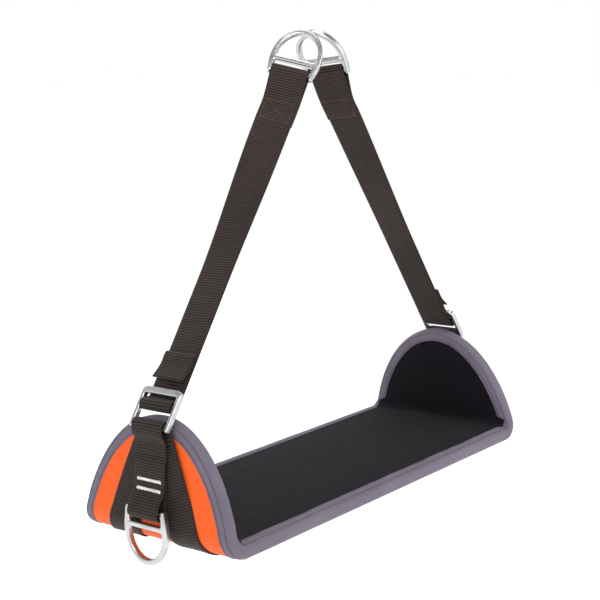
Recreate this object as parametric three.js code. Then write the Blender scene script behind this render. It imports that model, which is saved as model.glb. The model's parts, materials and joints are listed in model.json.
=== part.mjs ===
// A suspended work seat: a padded seat whose two ends turn up into wings, two
// sling straps stitched under it, and two hanging straps that meet overhead.
// Millimetres, +Z up. +X runs along the seat, +Y to its back edge. The origin is
// the hang point, where the arches of the two top rings bear on one hook.
import * as THREE from 'three';

// Driving dimensions
const SEAT_LENGTH = 580;        // across the outer faces of the two wings
const SEAT_WIDTH = 222;         // front edge to back edge
const WING_HEIGHT = 138;        // underside of the seat to the top of a wing
const WING_LEAN = 6;            // degrees that a wing leans in
const WING_ARCH = 1.75;         // power of the wing's arched outline
const SHELL_THICKNESS = 16;     // padded shell, cover to cover
const CORNER_RADIUS = 24;       // outer radius where the seat turns up
const COVER = 1.5;              // fabric covers
const BOARD = 5;                // stiff board under the foam
const BOARD_INSET = 8;          // board edge to seat edge
const BINDING_REACH = 13;       // how far the edge binding laps onto a cover
const BINDING = 1.2;            // edge binding fabric
const BINDING_LIFT = 0.75;      // clearance of the binding from the curved covers
const WEBBING_WIDTH = 45;
const WEBBING = 2;              // webbing thickness
const GAP = 0.3;                // clearance between touching pieces
const SLING_SPREAD = 66;        // centre line of an under-seat sling from the middle
const LEG_START = 8;            // centre line of a sling leg at its top
const LEG_TOP = WING_HEIGHT - 28;   // where the legs run into the adjuster's loop
const LEG_RUN = 206;            // surface distance over which a leg spreads
const LEG_EASE = 1.6;           // power of that spread
const LOOP_BAR_HEIGHT = WING_HEIGHT - 7;    // the adjuster's lower bar
const TAB_TOP = WING_HEIGHT - 36;
const TAB_BAR_HEIGHT = 0.275 * WING_HEIGHT; // the side ring's bar
const TAB_FOLD_TOP = 0.535 * WING_HEIGHT;   // top of the tab's inner layer
const LEG_CLIMB = 37.26;        // height over which the front leg climbs over the rear one
const LEG_LEAD = 4.34;          // from the end of that climb to where the legs meet
const SLOT_CLEARANCE = 0.8;     // from the webbing's edge to a window's end
const ADJUSTER_POST = 4.7;
const ADJUSTER_WIDTH = WEBBING_WIDTH + 2 * (SLOT_CLEARANCE + ADJUSTER_POST);
const ADJUSTER_HEIGHT = 47;
const ADJUSTER_THICKNESS = 7;
const ADJUSTER_FOOT = 5;        // below the lower bar's axis
const ADJUSTER_TOP_BAR = 7.5;
const MIDDLE_BAR = 23;          // middle bar's axis above the lower bar's
const BAR = 6;                  // height of every bar that webbing turns round
const STRAP_REACH = 440;        // adjuster's lower bar to the top ring's bar
const RING_MEETING = 0.38;      // arch top to the middle, in ring thicknesses
const LEFT_TWIST = 25;          // degrees each strap turns about itself on its way up
const RIGHT_TWIST = 10;
const TRAVEL_START = 58;        // where the run above the adjuster begins
const UPPER_START = 160;        // where the run that never meets the adjuster begins
const TWIST_START = 200;
const TWIST_STEP = 3.5;         // the most that a strap turns from one step to the next, in degrees
const EYE_OVERLAP = 62;         // doubled webbing below a top ring
const EYE_SPLIT = 34;           // where its two layers part to pass the bar
const TAIL_START = 50;
const TAIL_FOLD = 87;           // top of the folded and sewn tail end
const TAIL_FLAP = 34;           // length of the flap that folds back down
const RING_POST = 7.7;
const RING_WIDTH = WEBBING_WIDTH + 2 * (SLOT_CLEARANCE + RING_POST);
const RING_ARCH = 40;           // rise of the ring's arch
const RING_SHOULDER = 18;       // bar axis to the arch's spring line
const RING_FOOT = 5.5;          // below the bar's axis
const RING_FOOT_WIDTH = 4.6;
const RING_ROD = 6.5;
const RING_CROSSBAR = 15;       // crossbar's axis above the bar's
const RING_CROSSBAR_HEIGHT = 6;
const RING_THICKNESS = 8;

const rad = THREE.MathUtils.degToRad;
const vec = (x, y, z) => new THREE.Vector3(x, y, z);

const COLOURS = {
  board: ['#b08a58', 0.7, 0],
  foam: ['#d9d4c4', 0.9, 0],
  seatFabric: ['#2b2730', 0.85, 0],
  orangeFabric: ['#ff6a24', 0.75, 0],
  binding: ['#7d7684', 0.8, 0],
  webbing: ['#2e2624', 0.8, 0],
  metal: ['#c4c5cb', 0.35, 1],
};

function mesh(name, geometry, colour) {
  const [color, roughness, metalness] = COLOURS[colour];
  const material = new THREE.MeshStandardMaterial({ color, roughness, metalness });
  const piece = new THREE.Mesh(geometry, material);
  piece.name = name;
  return piece;
}

// Moves every vertex of a geometry through a function of its position.
function remap(geometry, place) {
  const position = geometry.attributes.position;
  const from = new THREE.Vector3();
  for (let i = 0; i < position.count; i += 1) {
    from.fromBufferAttribute(position, i);
    const to = place(from, i);
    position.setXYZ(i, to.x, to.y, to.z);
  }
  geometry.computeVertexNormals();
  return geometry;
}

// ---- The shell: the seat's underside and the wings' outer faces ----

const TURN = Math.PI / 2 + rad(WING_LEAN);
const FLAT_HALF = SEAT_LENGTH / 2 - CORNER_RADIUS;
const ARC_LENGTH = CORNER_RADIUS * TURN;
const ARC_RISE = CORNER_RADIUS * (1 - Math.cos(TURN));
const WING_LENGTH = (WING_HEIGHT - ARC_RISE) / Math.sin(TURN);
const SHELL_HALF = FLAT_HALF + ARC_LENGTH + WING_LENGTH;

// Place on the shell: along it from the middle, across it, and outwards from its
// outer surface. The profile is flat, then an arc, then the straight leaning wing.
function onShell(along, across, out) {
  const side = Math.sign(along) || 1;
  const s = Math.abs(along);
  const angle = THREE.MathUtils.clamp((s - FLAT_HALF) / CORNER_RADIUS, 0, TURN);
  const flat = Math.min(s, FLAT_HALF);
  const straight = Math.max(s - FLAT_HALF - ARC_LENGTH, 0);
  const radius = CORNER_RADIUS + out;
  const x = flat + radius * Math.sin(angle) + straight * Math.cos(TURN);
  const z = CORNER_RADIUS - radius * Math.cos(angle) + straight * Math.sin(TURN);
  return vec(side * x, across, z);
}

// Distance along the shell at which its outer face reaches a height on a wing.
const alongAt = (height) => FLAT_HALF + ARC_LENGTH + (height - ARC_RISE) / Math.sin(TURN);

// Half the shell's width: constant on the seat, an arch on the wings.
function halfWidth(along) {
  const t = (Math.abs(along) - FLAT_HALF) / (SHELL_HALF - FLAT_HALF);
  const arch = t > 0 ? Math.sqrt(Math.max(1 - t ** WING_ARCH, 0)) : 1;
  return (SEAT_WIDTH / 2) * arch;
}

// Stations along part of the shell: close together on the arcs and at a wing's tip.
function stations(from, to) {
  const edges = [];
  const cuts = [0, FLAT_HALF];
  for (let i = 1; i <= 8; i += 1) cuts.push(FLAT_HALF + (ARC_LENGTH * i) / 8);
  const rest = SHELL_HALF - FLAT_HALF - ARC_LENGTH;
  for (let i = 1; i <= 12; i += 1) {
    cuts.push(SHELL_HALF - rest * Math.cos((i / 12) * (Math.PI / 2)));
  }
  for (const cut of cuts) edges.push(cut, -cut);
  const inside = edges.filter((s) => s > from + 1 && s < to - 1);
  return [from, ...new Set(inside), to].sort((a, b) => a - b);
}

// One layer of the shell between two distances along it, between two depths.
function layer(from, to, low, high, inset) {
  const rows = stations(from, to);
  const box = new THREE.BoxGeometry(1, 1, 1, rows.length - 1, 4, 1);
  return remap(box, (p) => {
    const along = rows[Math.round((p.x + 0.5) * (rows.length - 1))];
    const across = 2 * p.y * (halfWidth(along) - inset);
    return onShell(along, across, p.z < 0 ? high : low);
  });
}

// The last place on a wing where the shell is still wider than this half width.
function tip(half) {
  const t = (1 - (half / (SEAT_WIDTH / 2)) ** 2) ** (1 / WING_ARCH);
  return FLAT_HALF + t * (SHELL_HALF - FLAT_HALF);
}

// The shell's outline as distances along and across it, once round: the front edge,
// the arch of the +X wing, the back edge, and the arch of the other wing.
function outline() {
  const steps = 80;
  const points = [];
  for (const side of [1, -1]) {
    for (let i = 0; i <= steps; i += 1) {
      const angle = (i / steps) * Math.PI;
      const rise = Math.sin(angle) ** (2 / WING_ARCH);
      const along = FLAT_HALF + rise * (SHELL_HALF - FLAT_HALF);
      points.push(new THREE.Vector2(side * along, (-side * SEAT_WIDTH * Math.cos(angle)) / 2));
    }
  }
  return points;
}

// The binding: a channel folded over the shell's edge, swept once round its outline.
function binding() {
  const points = outline();
  const edge = -GAP - BINDING;
  const top = BINDING_LIFT + BINDING;
  const under = -SHELL_THICKNESS - BINDING_LIFT;
  // distance in from the outline, and out from the shell's outer face
  const channel = [
    [BINDING_REACH, top], [edge, top], [edge, under - BINDING], [BINDING_REACH, under - BINDING],
    [BINDING_REACH, under], [-GAP, under], [-GAP, BINDING_LIFT], [BINDING_REACH, BINDING_LIFT],
  ];
  const torus = new THREE.TorusGeometry(2, 1, channel.length, points.length);
  const uv = torus.attributes.uv;
  return remap(torus, (p, i) => {
    const station = Math.round(uv.getX(i) * points.length) % points.length;
    const corner = Math.round(uv.getY(i) * channel.length) % channel.length;
    const before = points[(station + points.length - 1) % points.length];
    const after = points[(station + 1) % points.length];
    const run = after.clone().sub(before).normalize();
    const [inward, out] = channel[corner];
    const point = points[station];
    return onShell(point.x - run.y * inward, point.y + run.x * inward, out);
  });
}

// ---- Webbing ----

// A strip of webbing: each step gives the middle of its thickness, the direction of
// its width and of its thickness, and half its width if that isn't the webbing's own.
function strip(steps) {
  const box = new THREE.BoxGeometry(1, 1, 1, 1, steps.length - 1, 1);
  return remap(box, (p) => {
    const step = steps[Math.round((p.y + 0.5) * (steps.length - 1))];
    const half = step.half ?? WEBBING_WIDTH / 2;
    const place = step.at.clone().addScaledVector(step.wide, Math.sign(p.x) * half);
    return place.addScaledVector(step.thick, (Math.sign(p.z) * WEBBING) / 2);
  });
}

// Steps of a strip that is as wide as Y and bends only in the plane of X and Z.
function foldedSteps(points) {
  const curve = new THREE.CatmullRomCurve3(points, false, 'centripetal');
  const count = points.length * 3;
  const steps = [];
  for (let i = 0; i <= count; i += 1) {
    const run = curve.getTangent(i / count);
    steps.push({ at: curve.getPoint(i / count), wide: vec(0, 1, 0), thick: vec(run.z, 0, -run.x) });
  }
  return steps;
}

// Points of an arc in the plane of X and Z, from one angle to another in degrees.
function arc(x, z, radius, from, to) {
  const points = [];
  const count = 5;
  for (let i = 0; i <= count; i += 1) {
    const angle = rad(from + ((to - from) * i) / count);
    points.push(vec(x + radius * Math.cos(angle), 0, z + radius * Math.sin(angle)));
  }
  return points;
}

// Centre line of the webbing round a bar: clear of the bar's corners.
const wrapRadius = (thickness) => Math.hypot(BAR, thickness) / 2 + GAP + WEBBING / 2;
const PLY = WEBBING + GAP;      // one layer of webbing to the next

const smooth = (from, to, at) => THREE.MathUtils.smoothstep(at, from, to);

// Where the two legs' edges meet, as a distance down from their top, and the climb before it.
const LEG_MEETING = LEG_RUN
  * (1 - ((SLING_SPREAD - WEBBING_WIDTH / 2) / (SLING_SPREAD - LEG_START)) ** (1 / LEG_EASE));
const LEG_CLEAR = LEG_TOP - LEG_MEETING - LEG_LEAD;
const LEG_CROSSING = [LEG_CLEAR - LEG_CLIMB, LEG_CLEAR];

// How far a sling leg's centre line has spread at a distance along the shell.
function legSpread(along) {
  const run = Math.max(alongAt(LEG_TOP) - Math.abs(along), 0);
  const left = Math.max(1 - run / LEG_RUN, 0);
  return SLING_SPREAD - (SLING_SPREAD - LEG_START) * left ** LEG_EASE;
}

// One sling: up the outside of both wings and under the seat between them. The
// front one crosses over the rear one where the legs close up below the loop.
function sling(edge, plies) {
  const top = alongAt(LEG_TOP);
  const crossing = LEG_CROSSING.map(alongAt);
  const rows = stations(-top, top).filter((s) => Math.abs(s) < FLAT_HALF + ARC_LENGTH + 1);
  for (let i = 1; i <= 8; i += 1) {
    const along = FLAT_HALF + ARC_LENGTH + ((top - FLAT_HALF - ARC_LENGTH) * i) / 8;
    rows.push(along, -along);
  }
  for (let i = 1; i <= 4; i += 1) rows.push(FLAT_HALF - i * 14, i * 14 - FLAT_HALF);
  rows.sort((a, b) => a - b);
  const box = new THREE.BoxGeometry(1, 1, 1, 1, rows.length - 1, 1);
  return remap(box, (p) => {
    const along = rows[Math.round((p.y + 0.5) * (rows.length - 1))];
    const slope = legSpread(along + 1) - legSpread(along - 1);
    const half = (WEBBING_WIDTH / 2) * Math.hypot(1, slope / 2);
    const across = edge * legSpread(along) + Math.sign(p.x) * half;
    const lift = GAP + plies * PLY * smooth(...crossing, Math.abs(along));
    return onShell(along, across, lift + (p.z > 0 ? WEBBING : 0));
  });
}

// A folded strip against the +X wing, from heights up it and distances out of it.
const onWing = (height, out) => onShell(alongAt(height), 0, out);

const LEG_OUT = GAP + WEBBING / 2;           // centre of the layer next to the cover
const EDGE_OUT = LEG_OUT + BINDING_LIFT + BINDING + GAP;  // over the edge binding
const LOOP_BAR_OUT = EDGE_OUT + wrapRadius(ADJUSTER_THICKNESS);
const LOOP_BAR = onWing(LOOP_BAR_HEIGHT, LOOP_BAR_OUT);

const LOOP_CLIMB = 10;          // height over which the loop climbs onto the binding

// The loop where the sling turns round the adjuster's lower bar.
function adjusterLoop() {
  const radius = wrapRadius(ADJUSTER_THICKNESS);
  const start = LEG_TOP + 3 * GAP;
  const points = [
    onWing(start, LEG_OUT),
    onWing(start + LOOP_CLIMB / 2, LEG_OUT + 2 * GAP),
    onWing(start + LOOP_CLIMB, EDGE_OUT),
    ...arc(LOOP_BAR.x, LOOP_BAR.z, radius, 180 + WING_LEAN, WING_LEAN),
    onWing(LOOP_BAR_HEIGHT - BAR * 1.5, LOOP_BAR_OUT + radius - 1.4),
    onWing(start, LEG_OUT + PLY),
  ];
  return strip(foldedSteps(points));
}

const TAB_OUT = LEG_OUT + 2 * PLY;           // the tab's inner layer, over both legs
const TAB_BAR_OUT = TAB_OUT + wrapRadius(RING_THICKNESS);
const TAB_BAR = onWing(TAB_BAR_HEIGHT, TAB_BAR_OUT);

// The tab: folded round the side ring's bar and stitched down over the legs.
function ringTab() {
  const radius = wrapRadius(RING_THICKNESS);
  const points = [
    onWing(TAB_FOLD_TOP, TAB_OUT),
    onWing((TAB_FOLD_TOP + TAB_BAR_HEIGHT) / 2, TAB_OUT),
    ...arc(TAB_BAR.x, TAB_BAR.z, radius, 180 + WING_LEAN, 360 + WING_LEAN),
    onWing(TAB_BAR_HEIGHT + 12, TAB_BAR_OUT + radius - 3.2),
    onWing(TAB_FOLD_TOP - 12, TAB_OUT + PLY + 0.4),
    onWing(TAB_FOLD_TOP, TAB_OUT + PLY),
    onWing(TAB_TOP, TAB_OUT + PLY),
  ];
  return strip(foldedSteps(points));
}

// ---- Metal frames: X is the width, Y up from the bar's axis, Z the thickness ----

function plate(shape, thickness) {
  const bevel = 0.9;
  const options = { bevelEnabled: true, bevelThickness: bevel, bevelSize: bevel };
  Object.assign(options, { bevelSegments: 1, bevelOffset: -bevel, curveSegments: 7 });
  const extruded = new THREE.ExtrudeGeometry(shape, { ...options, depth: thickness - 2 * bevel });
  return extruded.translate(0, 0, bevel - thickness / 2);
}

function rectangle(path, left, right, low, high, radius) {
  path.moveTo(left + radius, low);
  path.lineTo(right - radius, low);
  path.absarc(right - radius, low + radius, radius, -Math.PI / 2, 0);
  path.lineTo(right, high - radius);
  path.absarc(right - radius, high - radius, radius, 0, Math.PI / 2);
  path.lineTo(left + radius, high);
  path.absarc(left + radius, high - radius, radius, Math.PI / 2, Math.PI);
  path.lineTo(left, low + radius);
  path.absarc(left + radius, low + radius, radius, Math.PI, 1.5 * Math.PI);
  return path;
}

const SLOT_HALF = WEBBING_WIDTH / 2 + SLOT_CLEARANCE;

// The adjuster: a frame with a lower, a middle and a top bar.
function adjuster() {
  const top = ADJUSTER_HEIGHT - ADJUSTER_FOOT;
  const half = ADJUSTER_WIDTH / 2;
  const shape = new THREE.Shape();
  shape.moveTo(SLOT_HALF, -BAR / 2);
  shape.lineTo(SLOT_HALF, -ADJUSTER_FOOT + 1);
  shape.lineTo(SLOT_HALF + 1, -ADJUSTER_FOOT);
  shape.absarc(half - 3, -ADJUSTER_FOOT + 3, 3, -Math.PI / 2, 0);
  shape.absarc(half - 6, top - 6, 6, 0, Math.PI / 2);
  shape.absarc(6 - half, top - 6, 6, Math.PI / 2, Math.PI);
  shape.absarc(3 - half, -ADJUSTER_FOOT + 3, 3, Math.PI, 1.5 * Math.PI);
  shape.lineTo(-SLOT_HALF - 1, -ADJUSTER_FOOT);
  shape.lineTo(-SLOT_HALF, -ADJUSTER_FOOT + 1);
  shape.lineTo(-SLOT_HALF, -BAR / 2);
  const lower = [BAR / 2, MIDDLE_BAR - BAR / 2];
  const upper = [MIDDLE_BAR + BAR / 2, top - ADJUSTER_TOP_BAR];
  for (const [low, high] of [lower, upper]) {
    shape.holes.push(rectangle(new THREE.Path(), -SLOT_HALF, SLOT_HALF, low, high, 2));
  }
  return plate(shape, ADJUSTER_THICKNESS);
}

// A D-shaped ring: a bar for the webbing, a slot, a crossbar and an open arch.
function ring() {
  const half = RING_WIDTH / 2;
  const inner = half - RING_ROD;
  const crossTop = RING_CROSSBAR + RING_CROSSBAR_HEIGHT / 2;
  const crossLow = RING_CROSSBAR - RING_CROSSBAR_HEIGHT / 2;
  const foot = RING_FOOT_WIDTH / 2;
  const shape = new THREE.Shape();
  shape.moveTo(SLOT_HALF, -BAR / 2);
  shape.absarc(SLOT_HALF + foot, foot - RING_FOOT, foot, Math.PI, 2 * Math.PI);
  shape.quadraticCurveTo(half, crossLow, half, RING_SHOULDER);
  shape.absellipse(0, RING_SHOULDER, half, RING_ARCH, 0, Math.PI, false, 0);
  shape.quadraticCurveTo(-half, crossLow, -SLOT_HALF - 2 * foot, foot - RING_FOOT);
  shape.absarc(-SLOT_HALF - foot, foot - RING_FOOT, foot, Math.PI, 2 * Math.PI);
  shape.lineTo(-SLOT_HALF, -BAR / 2);
  const slot = rectangle(new THREE.Path(), -SLOT_HALF, SLOT_HALF, BAR / 2, crossLow, 1.5);
  const arch = new THREE.Path();
  arch.moveTo(inner, crossTop);
  arch.absellipse(0, crossTop, inner, RING_SHOULDER + RING_ARCH - RING_ROD - crossTop, 0, Math.PI, false, 0);
  shape.holes.push(slot, arch);
  return plate(shape, RING_THICKNESS);
}

// ---- Hanging straps: Y is the width, Z up the strap, X away from the middle ----

// The lean at which the arches of the two top rings meet over the middle of the seat.
const ARCH_REACH = STRAP_REACH + RING_SHOULDER + RING_ARCH;
const LEAN = Math.asin((LOOP_BAR.x - RING_MEETING * RING_THICKNESS) / ARCH_REACH);
const WRAP = wrapRadius(ADJUSTER_THICKNESS);
// The tail is caught between the top bar and the run, on the adjuster's inner side.
const TAIL_X = -ADJUSTER_THICKNESS / 2 - GAP - WEBBING / 2;
const RUN_X = TAIL_X - PLY - GAP;

// The strap's turn about itself at a height up it, all of it below the sewn eye.
const EYE_START = STRAP_REACH - EYE_OVERLAP;
function twistAt(height, twist) {
  const share = (height - TWIST_START) / (EYE_START - TWIST_START);
  return rad(twist) * THREE.MathUtils.clamp(share, 0, 1);
}

// Turns steps about the strap's own axis, by the twist at each one's height.
function twisted(steps, twist) {
  const axis = vec(0, 0, 1);
  for (const step of steps) {
    const angle = twistAt(step.at.z, twist);
    for (const v of [step.at, step.wide, step.thick]) v.applyAxisAngle(axis, angle);
  }
  return steps;
}

// The run through the adjuster: down its inner side, round the middle bar, out
// through the upper slot and up again behind the top bar.
function strapWrap() {
  const slot = MIDDLE_BAR + BAR / 2;
  const points = [
    vec(RUN_X, 0, TRAVEL_START - GAP),
    vec(RUN_X, 0, (TRAVEL_START + MIDDLE_BAR) / 2),
    ...arc(0, MIDDLE_BAR, WRAP, 180, 400),
    vec(0, 0, slot + 3.6),
    vec(TAIL_X, 0, slot + 7.2),
    vec(TAIL_X, 0, slot + 11),
    vec(TAIL_X, 0, TAIL_START - GAP),
  ];
  return strip(foldedSteps(points));
}

function straightSteps(x, from, to, count) {
  const steps = [];
  for (let i = 0; i <= count; i += 1) {
    const at = vec(x, 0, from + ((to - from) * i) / count);
    steps.push({ at, wide: vec(0, 1, 0), thick: vec(1, 0, 0) });
  }
  return steps;
}

// The upper run, up outside the top ring's bar, round it and back down, doubled.
function upperStrap(twist) {
  const radius = wrapRadius(RING_THICKNESS);
  const join = STRAP_REACH - EYE_SPLIT;
  const shoulder = STRAP_REACH - BAR;
  const plain = straightSteps(RUN_X, UPPER_START + GAP, TWIST_START, 1);
  const turns = Math.ceil(Math.abs(twist) / TWIST_STEP);
  const turning = straightSteps(RUN_X, TWIST_START, EYE_START, turns).slice(1);
  const round = foldedSteps([
    vec(RUN_X, 0, EYE_START + 6),
    vec(RUN_X, 0, join),
    vec(radius - 2, 0, shoulder),
    ...arc(0, STRAP_REACH, radius, 0, 180),
    vec(-radius - GAP, 0, shoulder),
    vec(RUN_X - PLY, 0, join),
    vec(RUN_X - PLY, 0, EYE_START),
  ]);
  return strip(twisted([...plain, ...turning, ...round], twist));
}

// The tail's end: folded out over itself, its flap standing a little off.
function strapTail() {
  const out = TAIL_X + PLY;
  const top = TAIL_FOLD - WEBBING;
  return strip(foldedSteps([
    vec(TAIL_X, 0, TAIL_START),
    vec(TAIL_X, 0, (TAIL_START + top) / 2),
    vec(TAIL_X, 0, top - 2),
    vec(TAIL_X + PLY / 2, 0, top + 0.6),
    vec(out, 0, top - 2),
    vec(out, 0, top - 12),
    vec(out + 1.2, 0, TAIL_FOLD - TAIL_FLAP / 2 - 5),
    vec(out + 5, 0, TAIL_FOLD - TAIL_FLAP),
  ]));
}

// Turns a frame from its own plane to face along X, standing up or hanging down.
function facing(piece, up) {
  const basis = new THREE.Matrix4().makeBasis(vec(0, 1, 0), vec(0, 0, up), vec(up, 0, 0));
  piece.quaternion.setFromRotationMatrix(basis);
  return piece;
}

// One end of the seat, built at +X: the loop, tab and side ring on the wing, and
// the hanging strap with its adjuster and top ring.
function hangingEnd(name, twist) {
  const end = new THREE.Group();
  end.add(mesh(`${name}_adjuster_loop`, adjusterLoop(), 'webbing'));
  end.add(mesh(`${name}_ring_tab`, ringTab(), 'webbing'));

  const sideRing = facing(mesh(`${name}_side_ring`, ring(), 'metal'), -1);
  sideRing.position.copy(TAB_BAR);
  end.add(sideRing);

  const hanging = new THREE.Group();
  hanging.position.copy(LOOP_BAR);
  hanging.rotation.y = -LEAN;
  hanging.add(facing(mesh(`${name}_adjuster`, adjuster(), 'metal'), 1));
  hanging.add(mesh(`${name}_strap_wrap`, strapWrap(), 'webbing'));
  const lower = straightSteps(RUN_X, TRAVEL_START, UPPER_START, 6);
  hanging.add(mesh(`${name}_strap_lower`, strip(lower), 'webbing'));
  hanging.add(mesh(`${name}_strap_upper`, upperStrap(twist), 'webbing'));
  hanging.add(mesh(`${name}_strap_tail`, strapTail(), 'webbing'));
  const spin = new THREE.Group();
  spin.position.set(0, 0, STRAP_REACH);
  spin.rotation.z = twistAt(STRAP_REACH, twist);
  spin.add(facing(mesh(`${name}_top_ring`, ring(), 'metal'), 1));
  hanging.add(spin);
  end.add(hanging);
  return end;
}

// The padded seat between its two covers, and what is stitched under it.
function seat() {
  const group = new THREE.Group();
  const edge = tip(10);
  const inside = -SHELL_THICKNESS;
  const boardHalf = FLAT_HALF - BOARD_INSET;
  const boardTop = -COVER - GAP - BOARD;
  group.add(mesh('outer_cover', layer(-edge, edge, -COVER, 0, 0), 'orangeFabric'));
  group.add(mesh('seat_cover', layer(-edge, edge, inside, inside + COVER, 0), 'seatFabric'));
  const board = layer(-boardHalf, boardHalf, boardTop, -COVER - GAP, BOARD_INSET);
  group.add(mesh('seat_board', board, 'board'));
  const foamLow = inside + COVER + GAP;
  const foam = layer(-boardHalf, boardHalf, foamLow, boardTop - GAP, BOARD_INSET / 2);
  group.add(mesh('seat_foam', foam, 'foam'));
  const wingStart = boardHalf + 2 * GAP;
  const wingEnd = tip(16);
  const wingFoam = (from, to) => layer(from, to, foamLow, -COVER - GAP, BOARD_INSET / 2);
  group.add(mesh('left_wing_foam', wingFoam(-wingEnd, -wingStart), 'foam'));
  group.add(mesh('right_wing_foam', wingFoam(wingStart, wingEnd), 'foam'));
  group.add(mesh('edge_binding', binding(), 'binding'));
  group.add(mesh('rear_sling', sling(1, 0), 'webbing'));
  group.add(mesh('front_sling', sling(-1, 1), 'webbing'));
  return group;
}

const HANG_HEIGHT = LOOP_BAR.z + (ARCH_REACH - RING_ROD) * Math.cos(LEAN);

const workSeat = new THREE.Group();
workSeat.add(seat());
workSeat.add(hangingEnd('right', RIGHT_TWIST));
const left = hangingEnd('left', LEFT_TWIST);
left.rotation.z = Math.PI;
workSeat.add(left);
workSeat.position.z = -HANG_HEIGHT;

export default workSeat;
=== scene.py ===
"""The looks of a suspended work seat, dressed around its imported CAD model.

A padded seat with turned-up wings hangs from two webbing straps. Everything is in
metres, in the CAD's frame: +X along the seat, +Y to its back edge, +Z up, and the
origin where the two top rings bear on one hook.
"""

import json
import logging
import math
from dataclasses import dataclass, field
from enum import Enum
from typing import Callable, Optional, Sequence

import bpy
import numpy as np
from mathutils import Matrix, Vector


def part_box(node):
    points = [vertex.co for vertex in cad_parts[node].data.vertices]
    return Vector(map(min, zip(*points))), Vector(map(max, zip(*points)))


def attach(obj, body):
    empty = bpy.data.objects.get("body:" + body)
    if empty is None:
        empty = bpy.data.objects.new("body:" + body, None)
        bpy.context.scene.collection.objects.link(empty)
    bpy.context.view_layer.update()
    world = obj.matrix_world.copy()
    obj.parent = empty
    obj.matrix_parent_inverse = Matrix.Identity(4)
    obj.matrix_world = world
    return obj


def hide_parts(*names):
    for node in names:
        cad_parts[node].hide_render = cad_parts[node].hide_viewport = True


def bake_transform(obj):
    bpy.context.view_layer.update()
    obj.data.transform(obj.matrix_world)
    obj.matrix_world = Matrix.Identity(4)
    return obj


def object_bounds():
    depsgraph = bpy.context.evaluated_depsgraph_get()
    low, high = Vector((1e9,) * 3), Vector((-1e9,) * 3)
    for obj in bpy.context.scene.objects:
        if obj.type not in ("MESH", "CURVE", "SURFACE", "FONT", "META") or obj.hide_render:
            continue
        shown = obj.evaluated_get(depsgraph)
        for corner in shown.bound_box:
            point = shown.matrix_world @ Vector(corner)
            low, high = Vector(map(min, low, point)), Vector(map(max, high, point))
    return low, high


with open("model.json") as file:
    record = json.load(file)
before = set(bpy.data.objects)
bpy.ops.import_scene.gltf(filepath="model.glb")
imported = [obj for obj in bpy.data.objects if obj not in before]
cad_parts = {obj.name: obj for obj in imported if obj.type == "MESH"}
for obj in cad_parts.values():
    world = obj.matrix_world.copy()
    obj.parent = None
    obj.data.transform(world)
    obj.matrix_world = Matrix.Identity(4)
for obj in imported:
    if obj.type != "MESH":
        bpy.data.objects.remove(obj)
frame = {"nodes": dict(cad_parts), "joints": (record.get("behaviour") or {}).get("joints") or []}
CAD_BOX = [list(corner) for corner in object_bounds()]

log = logging.getLogger("work_seat")
Array = np.ndarray


# --------------------------------------------------------------------------
# Sizes shared by the pieces, repeated from the CAD source
# --------------------------------------------------------------------------

WEBBING_WIDTH = 0.045
WEBBING = 0.002
GAP = 0.0003
PLY = WEBBING + GAP
BAR = 0.006
RING_PLATE = 0.008
ADJUSTER_PLATE = 0.007
SLOT_HALF = WEBBING_WIDTH / 2 + 0.0008
BINDING_LIFT = 0.00075
BINDING = 0.0012


def wrap_radius(plate: float) -> float:
    """Radius of the webbing's centre line round a bar of this plate: clear of its corners."""
    return math.hypot(BAR, plate) / 2 + GAP + WEBBING / 2


class Side(Enum):
    """An end of the seat, with the sign of X there."""

    LEFT = -1
    RIGHT = 1

    @property
    def label(self) -> str:
        """The side's name as the CAD writes it."""
        return self.name.lower()


class Slot(Enum):
    """The record's material slots."""

    WEBBING = "webbing"
    ORANGE = "orange_fabric"
    SEAT = "seat_fabric"
    BINDING = "binding"
    METAL = "metal"
    FOAM = "foam"


# --------------------------------------------------------------------------
# Small array helpers
# --------------------------------------------------------------------------


def unit(vectors: Array) -> Array:
    """Each row divided by its own length."""
    return vectors / np.maximum(np.linalg.norm(vectors, axis=-1, keepdims=True), 1e-12)


def smooth(low: float, high: float, at: Array) -> Array:
    """Smoothstep: 0 below low, 1 above high, 3t^2 - 2t^3 in between."""
    t = np.clip((np.asarray(at, float) - low) / (high - low), 0, 1)
    return t * t * (3 - 2 * t)


def run_length(points: Array) -> Array:
    """Distance along a path at each of its points, from 0 at the first."""
    steps = np.linalg.norm(np.diff(points, axis=0), axis=1)
    return np.concatenate([[0.0], np.cumsum(steps)])


def spline(points: Sequence[Sequence[float]], spacing: float) -> Array:
    """A smooth path through points, with evenly spaced stations.

    Centripetal Catmull-Rom: each stretch is a cubic Hermite curve whose end slopes
    come from the neighbouring points, weighted by the square roots of the chords.
    The ends are mirrored to give the first and last stretch a neighbour.

    Args:
        points: the path's points.
        spacing: distance between two stations, about.

    Returns:
        An (n, k) array of stations.
    """
    p = np.asarray(points, float)
    p = np.vstack([2 * p[0] - p[1], p, 2 * p[-1] - p[-2]])
    chord = np.sqrt(np.linalg.norm(np.diff(p, axis=0), axis=1))[:, None]
    before, here, after = chord[:-2], chord[1:-1], chord[2:]
    p0, p1, p2, p3 = p[:-3], p[1:-2], p[2:-1], p[3:]
    m1 = (p2 - p1) + here * ((p1 - p0) / before - (p2 - p0) / (before + here))
    m2 = (p2 - p1) + here * ((p3 - p2) / after - (p3 - p1) / (here + after))
    t = np.linspace(0, 1, 24, endpoint=False)[None, :, None]
    h = [2 * t**3 - 3 * t**2 + 1, t**3 - 2 * t**2 + t, -2 * t**3 + 3 * t**2, t**3 - t**2]
    parts = (p1, m1, p2, m2)
    fine = sum(weight * part[:, None, :] for weight, part in zip(h, parts))
    fine = np.vstack([fine.reshape(-1, p.shape[1]), p[-2]])
    return resample(fine, spacing)


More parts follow.
